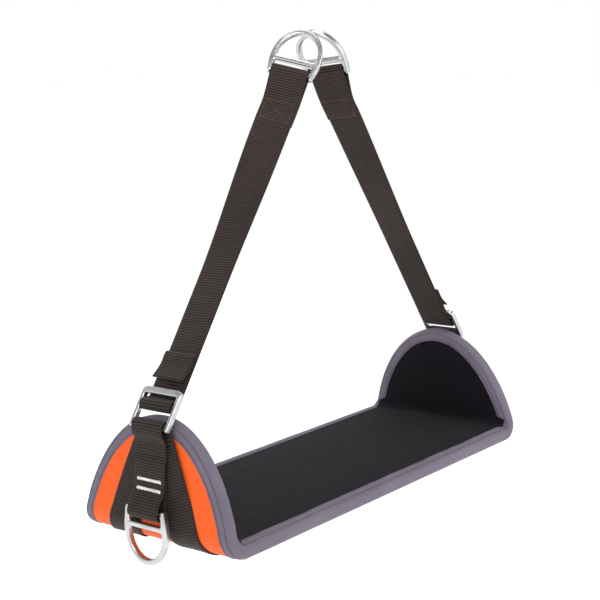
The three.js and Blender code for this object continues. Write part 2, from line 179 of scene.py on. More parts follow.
def resample(points: Array, spacing: float) -> Array:
    """The same path with evenly spaced stations, by linear interpolation on its length."""
    length = run_length(points)
    count = max(int(round(length[-1] / spacing)), 2)
    stations = np.linspace(0, length[-1], count + 1)
    return np.stack([np.interp(stations, length, c) for c in points.T], axis=1)


def wobble(at: Array, scale: float, seed: int) -> Array:
    """A smooth unrepeating height field between about -1 and 1.

    Sum of eight plane waves whose directions and phases come from a seeded draw,
    each of a wavelength near scale.

    Args:
        at: (..., k) positions.
        scale: wavelength, in the positions' units.
        seed: which draw.

    Returns:
        The heights, of shape (...).
    """
    draw = np.random.default_rng(seed)
    waves = unit(draw.normal(size=(8, at.shape[-1]))) * draw.uniform(0.6, 1.6, (8, 1))
    phase = draw.uniform(0, 2 * math.pi, 8)
    return np.sin(2 * math.pi / scale * (at @ waves.T) + phase).sum(axis=-1) / 4


# --------------------------------------------------------------------------
# Meshes
# --------------------------------------------------------------------------


@dataclass
class Surface:
    """A grid of points, rows along it and columns across it, with its own UV map.

    UVs are in metres along the cloth, so a pattern keeps its scale.
    """

    points: Array
    u: Array
    v: Array
    close_rows: bool = False
    close_columns: bool = False
    cap_ends: bool = False

    def faces(self) -> Array:
        """Quads between neighbouring rows and columns, wrapping where they close."""
        rows, columns = self.points.shape[:2]
        i = np.arange(rows if self.close_rows else rows - 1)[:, None]
        j = np.arange(columns if self.close_columns else columns - 1)[None, :]
        i2, j2 = (i + 1) % rows, (j + 1) % columns
        corners = [i * columns + j, i * columns + j2, i2 * columns + j2, i2 * columns + j]
        quads = np.stack(np.broadcast_arrays(*corners), axis=-1).reshape(-1, 4)
        if self.cap_ends:
            quads = np.vstack([quads, self._caps(rows, columns)])
        return quads

    @staticmethod
    def _caps(rows: int, columns: int) -> Array:
        """Quads that close both ends: column j is joined to its mirror across the loop."""
        half = columns // 2
        j = np.arange(half)
        first = np.stack([j, (columns - j) % columns, columns - j - 1, j + 1], axis=1)
        last = first[:, ::-1] + (rows - 1) * columns
        return np.vstack([first, last])

    def build(self, name: str, flip: bool = False) -> bpy.types.Object:
        """Puts the grid into a mesh object at the origin, shaded smooth.

        Args:
            name: the piece's name.
            flip: turn the faces round.

        Returns:
            The linked object.
        """
        quads = self.faces()
        if flip:
            quads = quads[:, ::-1]
        uv = np.stack([self.u, self.v], axis=-1).reshape(-1, 2)
        return mesh_object(name, self.points.reshape(-1, 3), quads, uv)


def mesh_object(
    name: str, points: Array, quads: Array, uv: Optional[Array] = None, smooth_shading: bool = True
) -> bpy.types.Object:
    """A mesh object from arrays of points and four-cornered faces.

    A quad with a repeated corner becomes a triangle.

    Args:
        name: the object's name.
        points: (n, 3) positions in the row frame.
        quads: (m, 4) corner indices.
        uv: (n, 2) map positions for each point, or None.
        smooth_shading: shade the faces smooth.

    Returns:
        The linked object.
    """
    keep = quads != np.roll(quads, 1, axis=1)
    sizes = keep.sum(axis=1)
    quads, keep, sizes = quads[sizes > 2], keep[sizes > 2], sizes[sizes > 2]
    corners = quads[keep].astype(np.int32)
    mesh = bpy.data.meshes.new(name)
    mesh.vertices.add(len(points))
    mesh.vertices.foreach_set("co", np.asarray(points, np.float32).ravel())
    mesh.loops.add(len(corners))
    mesh.loops.foreach_set("vertex_index", corners)
    mesh.polygons.add(len(sizes))
    starts = np.concatenate([[0], np.cumsum(sizes)[:-1]]).astype(np.int32)
    mesh.polygons.foreach_set("loop_start", starts)
    mesh.polygons.foreach_set("loop_total", sizes.astype(np.int32))
    mesh.polygons.foreach_set("use_smooth", np.full(len(sizes), smooth_shading))
    if uv is not None:
        layer = mesh.uv_layers.new(name="cloth")
        layer.data.foreach_set("uv", uv[corners].astype(np.float32).ravel())
    mesh.update(calc_edges=True)
    mesh.validate()
    piece = bpy.data.objects.new(name, mesh)
    bpy.context.scene.collection.objects.link(piece)
    return piece


def apply_modifiers(piece: bpy.types.Object) -> bpy.types.Object:
    """Replaces a piece's mesh with what its modifiers make of it."""
    graph = bpy.context.evaluated_depsgraph_get()
    graph.update()
    made = bpy.data.meshes.new_from_object(piece.evaluated_get(graph))
    piece.modifiers.clear()
    piece.data = made
    return piece


def subdivide(piece: bpy.types.Object, levels: int) -> bpy.types.Object:
    """Adds a live Subdivision Surface with the same levels in the view and the render."""
    modifier = piece.modifiers.new("smoothing", "SUBSURF")
    modifier.levels = modifier.render_levels = levels
    return piece


def recalculate_outwards(piece: bpy.types.Object) -> bpy.types.Object:
    """Merges a closed mesh's doubles and turns its faces outwards."""
    import bmesh

    work = bmesh.new()
    work.from_mesh(piece.data)
    bmesh.ops.remove_doubles(work, verts=work.verts, dist=2e-6)
    bmesh.ops.recalc_face_normals(work, faces=work.faces)
    work.to_mesh(piece.data)
    work.free()
    piece.data.polygons.foreach_set("use_smooth", np.ones(len(piece.data.polygons), bool))
    return piece


# --------------------------------------------------------------------------
# Shader node groups
# --------------------------------------------------------------------------


class Graph:
    """A small writer for a node tree: nodes by type, links and maths in one line each."""

    def __init__(self, tree: bpy.types.NodeTree) -> None:
        """Keeps the tree to write into."""
        self.tree = tree

    def node(self, kind: str, **settings: object) -> bpy.types.Node:
        """Adds a node and sets its properties."""
        made = self.tree.nodes.new(kind)
        for name, value in settings.items():
            setattr(made, name, value)
        return made

    def feed(self, socket: bpy.types.NodeSocket, value: object) -> None:
        """Links an output to a socket, or sets the socket's own value."""
        if isinstance(value, bpy.types.NodeSocket):
            self.tree.links.new(value, socket)
        else:
            socket.default_value = value

    def math(self, operation: str, *values: object, clamp: bool = False) -> bpy.types.NodeSocket:
        """A Math node's result."""
        made = self.node("ShaderNodeMath", operation=operation, use_clamp=clamp)
        for socket, value in zip(made.inputs, values):
            self.feed(socket, value)
        return made.outputs[0]

    def noise(self, vector: object, scale: object, detail: float = 3.0) -> bpy.types.NodeSocket:
        """A Noise texture's factor."""
        made = self.node("ShaderNodeTexNoise")
        self.feed(made.inputs["Vector"], vector)
        self.feed(made.inputs["Scale"], scale)
        made.inputs["Detail"].default_value = detail
        return made.outputs["Fac"]

    def remap(self, value: object, low: float, high: float, to: Sequence[float] = (0, 1)) -> object:
        """A smooth Map Range from [low, high] to the two values of to."""
        made = self.node("ShaderNodeMapRange", interpolation_type="SMOOTHSTEP")
        for name, number in zip(("From Min", "From Max", "To Min", "To Max"), (low, high, *to)):
            made.inputs[name].default_value = number
        self.feed(made.inputs["Value"], value)
        return made.outputs["Result"]

    def mix(self, factor: object, a: object, b: object) -> bpy.types.NodeSocket:
        """A colour between a and b."""
        made = self.node("ShaderNodeMix", data_type="RGBA")
        for index, value in ((0, factor), (6, a), (7, b)):
            self.feed(made.inputs[index], value)
        return made.outputs[2]


def shader_group(
    name: str, inputs: Sequence[tuple[str, str, object]], outputs: Sequence[tuple[str, str]]
) -> tuple[Graph, bpy.types.Node, bpy.types.Node]:
    """Starts a shader node group.

    Args:
        name: the group's name.
        inputs: (name, socket type, default) of each input; None keeps the default.
        outputs: (name, socket type) of each output.

    Returns:
        The graph to write into, its Group Input and its Group Output.
    """
    tree = bpy.data.node_groups.new(name, "ShaderNodeTree")
    for label, kind, default in inputs:
        socket = tree.interface.new_socket(label, in_out="INPUT", socket_type=kind)
        if default is not None:
            socket.default_value = default
    for label, kind in outputs:
        tree.interface.new_socket(label, in_out="OUTPUT", socket_type=kind)
    graph = Graph(tree)
    return graph, graph.node("NodeGroupInput"), graph.node("NodeGroupOutput")


FLOAT, VECTOR, COLOR = "NodeSocketFloat", "NodeSocketVector", "NodeSocketColor"


def webbing_weave_group() -> bpy.types.NodeTree:
    """Woven webbing on a UV map in metres: ribs across it, warp threads, selvedges.

    Height is the rib wave |sin| to the power 1.3 along the strap, times a
    finer cosine across it; Shade is how deep a point lies between threads, the mask
    for the painted shade in the valleys; Edge marks the selvedges, the mask for a
    painted highlight.
    """
    graph, given, made = shader_group(
        "webbing_weave",
        [("UV", VECTOR, None), ("Rib", FLOAT, 0.0019), ("Thread", FLOAT, 0.0013), ("Half", FLOAT, 0.0225)],
        [("Height", FLOAT), ("Shade", FLOAT), ("Edge", FLOAT)],
    )
    split = graph.node("ShaderNodeSeparateXYZ")
    graph.feed(split.inputs[0], given.outputs["UV"])
    across, along = split.outputs["X"], split.outputs["Y"]
    drift = graph.math("MULTIPLY", graph.noise(given.outputs["UV"], 55.0, 2.0), 0.0011)
    ribs = graph.math("DIVIDE", graph.math("ADD", along, drift), given.outputs["Rib"])
    threads = graph.math("DIVIDE", across, given.outputs["Thread"])
    wave = graph.math("ABSOLUTE", graph.math("SINE", graph.math("MULTIPLY", ribs, math.pi)))
    warp = graph.math("ABSOLUTE", graph.math("SINE", graph.math("MULTIPLY", threads, math.pi)))
    rib = graph.math("POWER", wave, 1.3)
    body = graph.math("MULTIPLY", rib, graph.math("ADD", 0.72, graph.math("MULTIPLY", warp, 0.28)))
    edge_distance = graph.math("SUBTRACT", given.outputs["Half"], graph.math("ABSOLUTE", across))
    edge = graph.remap(edge_distance, 0.0006, 0.0026, (1.0, 0.0))
    graph.feed(made.inputs["Height"], body)
    graph.feed(made.inputs["Shade"], graph.math("SUBTRACT", 1.0, body, clamp=True))
    graph.feed(made.inputs["Edge"], edge)
    return graph.tree


def plain_weave_group() -> bpy.types.NodeTree:
    """A plain woven cloth: over-and-under threads on two axes of a vector.

    Height is the product form sin(a)^2 sin(b)^2 of both thread waves, and Shade its
    complement, the mask for painted shade between the threads, with a slow drift so that
    the threads aren't ruled lines.
    """
    graph, given, made = shader_group(
        "plain_weave",
        [("Vector", VECTOR, None), ("Pitch", FLOAT, 0.0011)],
        [("Height", FLOAT), ("Shade", FLOAT)],
    )
    split = graph.node("ShaderNodeSeparateXYZ")
    graph.feed(split.inputs[0], given.outputs["Vector"])
    drift = graph.math("MULTIPLY", graph.noise(given.outputs["Vector"], 90.0, 2.0), 0.0009)
    waves = []
    for axis in ("X", "Y"):
        place = graph.math("DIVIDE", graph.math("ADD", split.outputs[axis], drift), given.outputs["Pitch"])
        waves.append(graph.math("ABSOLUTE", graph.math("SINE", graph.math("MULTIPLY", place, math.pi))))
    height = graph.math("MULTIPLY", *waves)
    graph.feed(made.inputs["Height"], height)
    graph.feed(made.inputs["Shade"], graph.math("SUBTRACT", 1.0, height))
    return graph.tree


def handling_group() -> bpy.types.NodeTree:
    """Use and handling: broad cloudy patches, fine grime, and stray specks of lint."""
    graph, given, made = shader_group(
        "handling",
        [("Vector", VECTOR, None), ("Patch Scale", FLOAT, 9.0), ("Fine Scale", FLOAT, 120.0)],
        [("Patches", FLOAT), ("Grime", FLOAT), ("Lint", FLOAT)],
    )
    vector = given.outputs["Vector"]
    patches = graph.remap(graph.noise(vector, given.outputs["Patch Scale"], 4.0), 0.32, 0.72)
    grime = graph.remap(graph.noise(vector, given.outputs["Fine Scale"], 5.0), 0.35, 0.8)
    specks = graph.node("ShaderNodeTexVoronoi", feature="F1")
    graph.feed(specks.inputs["Vector"], vector)
    specks.inputs["Scale"].default_value = 210.0
    lint = graph.remap(specks.outputs["Distance"], 0.04, 0.09, (1.0, 0.0))
    sparse = graph.remap(graph.noise(vector, 37.0, 1.0), 0.58, 0.64)
    graph.feed(made.inputs["Patches"], patches)
    graph.feed(made.inputs["Grime"], grime)
    graph.feed(made.inputs["Lint"], graph.math("MULTIPLY", lint, sparse))
    return graph.tree


# --------------------------------------------------------------------------
# Finishes
# --------------------------------------------------------------------------

Colour = tuple[float, float, float]


def rgba(colour: Colour, factor: float = 1.0) -> tuple[float, float, float, float]:
    """A colour scaled by a factor, with full alpha."""
    return (colour[0] * factor, colour[1] * factor, colour[2] * factor, 1.0)


def principled(name: str) -> tuple[Graph, bpy.types.Node, bpy.types.Material]:
    """A new material with its graph and its Principled shader."""
    material = bpy.data.materials.new(name)
    material.use_nodes = True
    shader = material.node_tree.nodes["Principled BSDF"]
    return Graph(material.node_tree), shader, material


def bump(graph: Graph, shader: bpy.types.Node, height: object, distance: float, strength: float) -> None:
    """Feeds a height through a Bump node to the shader's normal."""
    node = graph.node("ShaderNodeBump")
    node.inputs["Strength"].default_value = strength
    node.inputs["Distance"].default_value = distance
    graph.feed(node.inputs["Height"], height)
    graph.feed(shader.inputs["Normal"], node.outputs["Normal"])


@dataclass(frozen=True)
class WebbingFinish:
    """Polyester webbing with ribs across it, on the piece's own UV map, with painted light:
    the rib crests painted lighter as a painted highlight, the valleys darker as painted
    shade, and the selvedges painted lighter as a painted highlight.
    """

    name: str
    colour: Colour
    rib: float = 0.0030
    thread: float = 0.0015
    half: float = WEBBING_WIDTH / 2
    # Colour factors for the painted shade in the rib valleys and the painted highlight on the crests.
    valley: float = 0.15
    crest: float = 4.2
    roughness: float = 0.62
    specular: float = 0.22
    sheen: float = 0.06
    depth: float = 0.00035

    def make(self, groups: dict[str, bpy.types.NodeTree]) -> bpy.types.Material:
        """Builds the material from the shared groups."""
        graph, shader, material = principled(self.name)
        uv = graph.node("ShaderNodeUVMap", uv_map="cloth").outputs["UV"]
        weave = graph.node("ShaderNodeGroup", node_tree=groups["webbing_weave"])
        graph.feed(weave.inputs["UV"], uv)
        for label, value in (("Rib", self.rib), ("Thread", self.thread), ("Half", self.half)):
            weave.inputs[label].default_value = value
        use = graph.node("ShaderNodeGroup", node_tree=groups["handling"])
        graph.feed(use.inputs["Vector"], graph.node("ShaderNodeTexCoord").outputs["Object"])
        # Random cloudy tone, scaled by the crest factor: the colour of the crests' painted highlight.
        lit = graph.mix(
            use.outputs["Patches"], rgba(self.colour, 0.8 * self.crest), rgba(self.colour, 1.1 * self.crest)
        )
        # Painted shade: darker colour down in the valleys between ribs and threads.
        deep = graph.mix(weave.outputs["Shade"], lit, rgba(self.colour, self.valley))
        # Painted highlight: lighter colour along the selvedges.
        selvedge_highlight = graph.mix(
            graph.math("MULTIPLY", weave.outputs["Edge"], 0.5), deep, rgba(self.colour, 1.5)
        )
        lint = graph.math("MULTIPLY", use.outputs["Lint"], 0.25)
        dusty = graph.mix(lint, selvedge_highlight, rgba((0.3, 0.28, 0.27)))
        graph.feed(shader.inputs["Base Color"], dusty)
        rough = graph.math("ADD", self.roughness, graph.math("MULTIPLY", use.outputs["Grime"], 0.14))
        graph.feed(shader.inputs["Roughness"], rough)
        shader.inputs["Specular IOR Level"].default_value = self.specular
        shader.inputs["Sheen Weight"].default_value = self.sheen
        shader.inputs["Sheen Roughness"].default_value = 0.45
        bump(graph, shader, weave.outputs["Height"], self.depth, 0.9)
        return material


@dataclass(frozen=True)
class ClothFinish:
    """A woven cover cloth on object coordinates or a UV map, with a soft nap and painted
    shade between its threads.
    """

    name: str
    colour: Colour
    pitch: float = 0.0011
    use_uv: bool = True
    roughness: float = 0.8
    specular: float = 0.25
    sheen: float = 0.06
    coat: float = 0.0
    depth: float = 0.00018
    contrast: float = 0.16
    # Strength of the painted shade between the threads.
    shade: float = 0.55

    def make(self, groups: dict[str, bpy.types.NodeTree]) -> bpy.types.Material:
        """Builds the material from the shared groups."""
        graph, shader, material = principled(self.name)
        place = graph.node("ShaderNodeTexCoord").outputs["Object"]
        uv = graph.node("ShaderNodeUVMap", uv_map="cloth").outputs["UV"] if self.use_uv else place
        weave = graph.node("ShaderNodeGroup", node_tree=groups["plain_weave"])
        graph.feed(weave.inputs["Vector"], uv)
        weave.inputs["Pitch"].default_value = self.pitch
        use = graph.node("ShaderNodeGroup", node_tree=groups["handling"])
        graph.feed(use.inputs["Vector"], place)
        low, high = 1 - self.contrast / 2, 1 + self.contrast / 2
        cloudy = graph.mix(use.outputs["Patches"], rgba(self.colour, low), rgba(self.colour, high))
        # Painted shade: the colour darkens towards 0.45 of it between the threads.
        deep = graph.mix(
            graph.math("MULTIPLY", weave.outputs["Shade"], self.shade), cloudy, rgba(self.colour, 0.45)
        )
        graph.feed(shader.inputs["Base Color"], deep)
        rough = graph.math("ADD", self.roughness, graph.math("MULTIPLY", use.outputs["Grime"], 0.12))
        graph.feed(shader.inputs["Roughness"], rough)
        shader.inputs["Specular IOR Level"].default_value = self.specular
        shader.inputs["Sheen Weight"].default_value = self.sheen
        shader.inputs["Sheen Roughness"].default_value = 0.5
        shader.inputs["Coat Weight"].default_value = self.coat
        grime = graph.math("MULTIPLY", use.outputs["Grime"], 0.6)
        height = graph.math("ADD", weave.outputs["Height"], grime)
        bump(graph, shader, height, self.depth, 0.8)
        return material


@dataclass(frozen=True)
class ThreadFinish:
    """Sewing thread: a light twist along each stitch."""

    name: str
    colour: Colour
    roughness: float = 0.55

    def make(self, groups: dict[str, bpy.types.NodeTree]) -> bpy.types.Material:
        """Builds the material from the shared groups."""
        graph, shader, material = principled(self.name)
        place = graph.node("ShaderNodeTexCoord").outputs["Object"]
        use = graph.node("ShaderNodeGroup", node_tree=groups["handling"])
        graph.feed(use.inputs["Vector"], place)
        use.inputs["Patch Scale"].default_value = 60.0
        colour = graph.mix(use.outputs["Patches"], rgba(self.colour, 0.8), rgba(self.colour, 1.1))
        graph.feed(shader.inputs["Base Color"], colour)
        twist = graph.noise(place, 1900.0, 1.0)
        graph.feed(shader.inputs["Roughness"], graph.remap(twist, 0.2, 0.8, (self.roughness, 0.8)))
        shader.inputs["Sheen Weight"].default_value = 0.3
        bump(graph, shader, twist, 0.00015, 0.6)
        return material


@dataclass(frozen=True)
class MetalFinish:
    """Tumbled light alloy: polished, with a faint grain and rubbed patches."""

    name: str
    colour: Colour
    roughness: float = 0.24

    def make(self, groups: dict[str, bpy.types.NodeTree]) -> bpy.types.Material:
        """Builds the material from the shared groups."""
        graph, shader, material = principled(self.name)
        place = graph.node("ShaderNodeTexCoord").outputs["Object"]
        use = graph.node("ShaderNodeGroup", node_tree=groups["handling"])
        graph.feed(use.inputs["Vector"], place)
        use.inputs["Patch Scale"].default_value = 45.0
        use.inputs["Fine Scale"].default_value = 700.0
        colour = graph.mix(use.outputs["Patches"], rgba(self.colour, 0.86), rgba(self.colour, 1.08))
        graph.feed(shader.inputs["Base Color"], colour)
        shader.inputs["Metallic"].default_value = 1.0
        grain = graph.math("MULTIPLY", use.outputs["Grime"], 0.16)
        rubbed = graph.math("MULTIPLY", use.outputs["Patches"], 0.08)
        rough = graph.math("ADD", self.roughness, graph.math("ADD", grain, rubbed))
        graph.feed(shader.inputs["Roughness"], rough)
        bump(graph, shader, graph.noise(place, 900.0, 4.0), 0.00005, 0.35)
        return material


@dataclass(frozen=True)
class BoardFinish:
    """Plywood: rings of a stretched wave broken by noise."""

    name: str
    colour: Colour

    def make(self, groups: dict[str, bpy.types.NodeTree]) -> bpy.types.Material:
        """Builds the material from the shared groups."""
        graph, shader, material = principled(self.name)
        place = graph.node("ShaderNodeTexCoord").outputs["Object"]
        stretch = graph.node("ShaderNodeMapping")
        stretch.inputs["Scale"].default_value = (1.0, 9.0, 9.0)
        graph.feed(stretch.inputs["Vector"], place)
        grain = graph.noise(stretch.outputs["Vector"], 14.0, 5.0)
        use = graph.node("ShaderNodeGroup", node_tree=groups["handling"])
        graph.feed(use.inputs["Vector"], place)
        colour = graph.mix(graph.remap(grain, 0.3, 0.7), rgba(self.colour, 0.6), rgba(self.colour, 1.15))
        graph.feed(shader.inputs["Base Color"], colour)
        graph.feed(shader.inputs["Roughness"], graph.remap(use.outputs["Grime"], 0, 1, (0.55, 0.75)))
        bump(graph, shader, grain, 0.0003, 0.4)
        return material


@dataclass(frozen=True)
class FloorFinish:
    """The plain pale studio floor."""

    name: str = "studio_floor"
    colour: Colour = (0.75, 0.75, 0.75)
    glow: float = 0.62

    def make(self, groups: dict[str, bpy.types.NodeTree]) -> bpy.types.Material:
        """Builds the material from the shared groups."""
        graph, shader, material = principled(self.name)
        shade = graph.noise(graph.node("ShaderNodeTexCoord").outputs["Object"], 0.6, 2.0)
        colour = graph.mix(shade, rgba(self.colour, 0.99), rgba(self.colour, 1.01))
        graph.feed(shader.inputs["Base Color"], colour)
        shader.inputs["Roughness"].default_value = 0.7
        shader.inputs["Specular IOR Level"].default_value = 0.1
        shader.inputs["Emission Color"].default_value = (1.0, 1.0, 1.0, 1.0)
        shader.inputs["Emission Strength"].default_value = self.glow
        return material


# The webbing and edge tape carry painted highlights on their rib crests and selvedges and painted shade in
# their valleys; the cloths and foam carry painted shade between their threads.
FINISHES = {
    "webbing": WebbingFinish("strap_webbing", (0.0135, 0.0088, 0.0075)),
    "orange": ClothFinish(
        "orange_cover", (1.0, 0.125, 0.010), roughness=0.5, sheen=0.03, contrast=0.1, shade=0.25
    ),
    "seat": ClothFinish(
        "seat_cloth", (0.0085, 0.0068, 0.0105), pitch=0.0014,
        roughness=0.85, specular=0.12, sheen=0.03,
    ),
    "binding": WebbingFinish(
        "edge_tape", (0.185, 0.160, 0.212), rib=0.0011, thread=0.0016, half=0.2,
        valley=0.75, crest=1.15, roughness=0.7, sheen=0.1, depth=0.0002,
    ),
    "metal": MetalFinish("light_alloy", (0.60, 0.605, 0.62)),
    "board": BoardFinish("plywood", (0.43, 0.26, 0.11)),
    "foam": ClothFinish("foam", (0.62, 0.58, 0.45), pitch=0.0021, use_uv=False, shade=0.3),
    "tack": ThreadFinish("white_thread", (0.8, 0.78, 0.72)),
    "rust": ThreadFinish("red_brown_thread", (0.13, 0.042, 0.026)),
    "tape_thread": ThreadFinish("grey_thread", (0.075, 0.064, 0.088)),
    "dark_thread": ThreadFinish("black_thread", (0.022, 0.018, 0.018)),
    "floor": FloorFinish(),
}


@dataclass
class Paints:
    """Makes each finish once and puts it on pieces."""

    groups: dict[str, bpy.types.NodeTree] = field(default_factory=dict)
    made: dict[str, bpy.types.Material] = field(default_factory=dict)

    def __post_init__(self) -> None:
        """Builds the shared node groups."""
        for build in (webbing_weave_group, plain_weave_group, handling_group):
            tree = build()
            self.groups[tree.name] = tree

    def paint(self, piece: bpy.types.Object, finish: str) -> bpy.types.Object:
        """Gives a piece one finish, in place of what it had."""
        if finish not in self.made:
            self.made[finish] = FINISHES[finish].make(self.groups)
        if not piece.data.materials:
            piece.data.materials.append(self.made[finish])
        for index in range(len(piece.data.materials)):
            piece.data.materials[index] = self.made[finish]
        return piece


def settle(
    piece: bpy.types.Object, body: Optional[str], replaces: Sequence[str] = ()
) -> bpy.types.Object:
    """Fixes a finished piece to its body and hides the CAD it stands for.

    Args:
        piece: the finished object, at the origin.
        body: the CAD body it rides on, or None to leave it unattached.
        replaces: CAD nodes it stands for.

    Returns:
        The piece.
    """
    if body:
        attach(piece, body)
    if replaces:
        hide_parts(*replaces)
    log.info("%s: %d faces, %s", piece.name, len(piece.data.polygons), body or "blended")
    return piece


# --------------------------------------------------------------------------
# The shell that the seat, its binding and its slings lie on
# --------------------------------------------------------------------------


@dataclass(frozen=True)
class Shell:
    """The seat's underside and the wings' outer faces, as a surface with a thickness.

    Along the surface: flat to flat_half, an arc of the corner radius through turn,
    then the straight leaning wing up to half. Across it: constant on the seat, and
    an arch of power wing_arch on the wings.
    """

    length: float = 0.580
    width: float = 0.222
    wing_height: float = 0.138
    lean: float = math.radians(6)
    wing_arch: float = 1.75
    thickness: float = 0.016
    corner: float = 0.024
    drop: float = -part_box("outer_cover")[0].z

    @property
    def turn(self) -> float:
        """Angle of the corner's arc."""
        return math.pi / 2 + self.lean

    @property
    def flat_half(self) -> float:
        """Distance along from the middle to where the corner starts."""
        return self.length / 2 - self.corner

    @property
    def arc(self) -> float:
        """Length of the corner's arc."""
        return self.corner * self.turn

    @property
    def arc_rise(self) -> float:
        """Height at the top of the corner's arc."""
        return self.corner * (1 - math.cos(self.turn))

    @property
    def half(self) -> float:
        """Distance along from the middle to a wing's tip."""
        return self.flat_half + self.arc + (self.wing_height - self.arc_rise) / math.sin(self.turn)

    def along_at(self, height: float) -> float:
        """Distance along at which the outer face reaches a height on a wing."""
        return self.flat_half + self.arc + (height - self.arc_rise) / math.sin(self.turn)

    def place(self, along: Array, across: Array, out: Array) -> Array:
        """Positions from distances along, across and outwards from the outer face.

        x is the flat length plus the radius times the sine of the turned angle plus the
        straight length times the turn's cosine; z likewise with the radius's complement.
        """
        along, across, out = np.broadcast_arrays(along, across, out)
        s = np.abs(along)
        angle = np.clip((s - self.flat_half) / self.corner, 0, self.turn)
        flat = np.minimum(s, self.flat_half)
        straight = np.maximum(s - self.flat_half - self.arc, 0)
        radius = self.corner + out
        x = flat + radius * np.sin(angle) + straight * math.cos(self.turn)
        z = self.corner - radius * np.cos(angle) + straight * math.sin(self.turn)
        return np.stack([np.where(along < 0, -x, x), across, z - self.drop], axis=-1)

    def outward(self, along: Array, across: Array) -> Array:
        """Unit normals of the outer face."""
        return unit(self.place(along, across, 0.001) - self.place(along, across, 0.0))

    def half_width(self, along: Array) -> Array:
        """Half the shell's width: half the seat's width times the arch's height."""
        t = (np.abs(along) - self.flat_half) / (self.half - self.flat_half)
        arch = np.sqrt(np.clip(1 - np.clip(t, 0, 1) ** self.wing_arch, 0, 1))
        return self.width / 2 * arch

    def outline(self, spacing: float) -> Array:
        """The shell's edge as (along, across) stations, once round and evenly spaced.

        On an arch, along is flat_half plus sin(a)^(2/power) times the wing's reach and
        across is minus half the width times cos(a), for a from 0 to pi.
        """
        angle = np.linspace(0, math.pi, 900)
        rise = np.sin(angle) ** (2 / self.wing_arch)
        along = self.flat_half + rise * (self.half - self.flat_half)
        across = -self.width / 2 * np.cos(angle)
        right = np.stack([along, across], axis=1)
        loop = np.vstack([right, -right, right[:1]])
        return resample(loop, spacing)[:-1]

    def edge_distance(self, along: Array, across: Array) -> Array:
        """Distance in from the outline, about: the arch's implicit value over its slope."""
        s = np.maximum(np.abs(along) - self.flat_half, 0) / (self.half - self.flat_half)
        y = np.abs(across) / (self.width / 2)
        value = 1 - (s**self.wing_arch + y**2)
        ds = self.wing_arch * np.maximum(s, 1e-6) ** (self.wing_arch - 1) / (self.half - self.flat_half)
        dy = 2 * y / (self.width / 2)
        arch = value / np.maximum(np.hypot(np.where(s > 0, ds, 0), dy), 4.0)
        return np.maximum(arch, 0)


SHELL = Shell()


def edge_squeeze(distance: Array) -> Array:
    """How much thinner each face of the padded shell is, near its bound edge.

    1.6 mm at the edge, easing off with the square of a smoothstep by 30 mm in.
    """
    return 0.0016 * (1 - smooth(0.0, 0.030, distance)) ** 2


# --------------------------------------------------------------------------
# The padded seat
# --------------------------------------------------------------------------


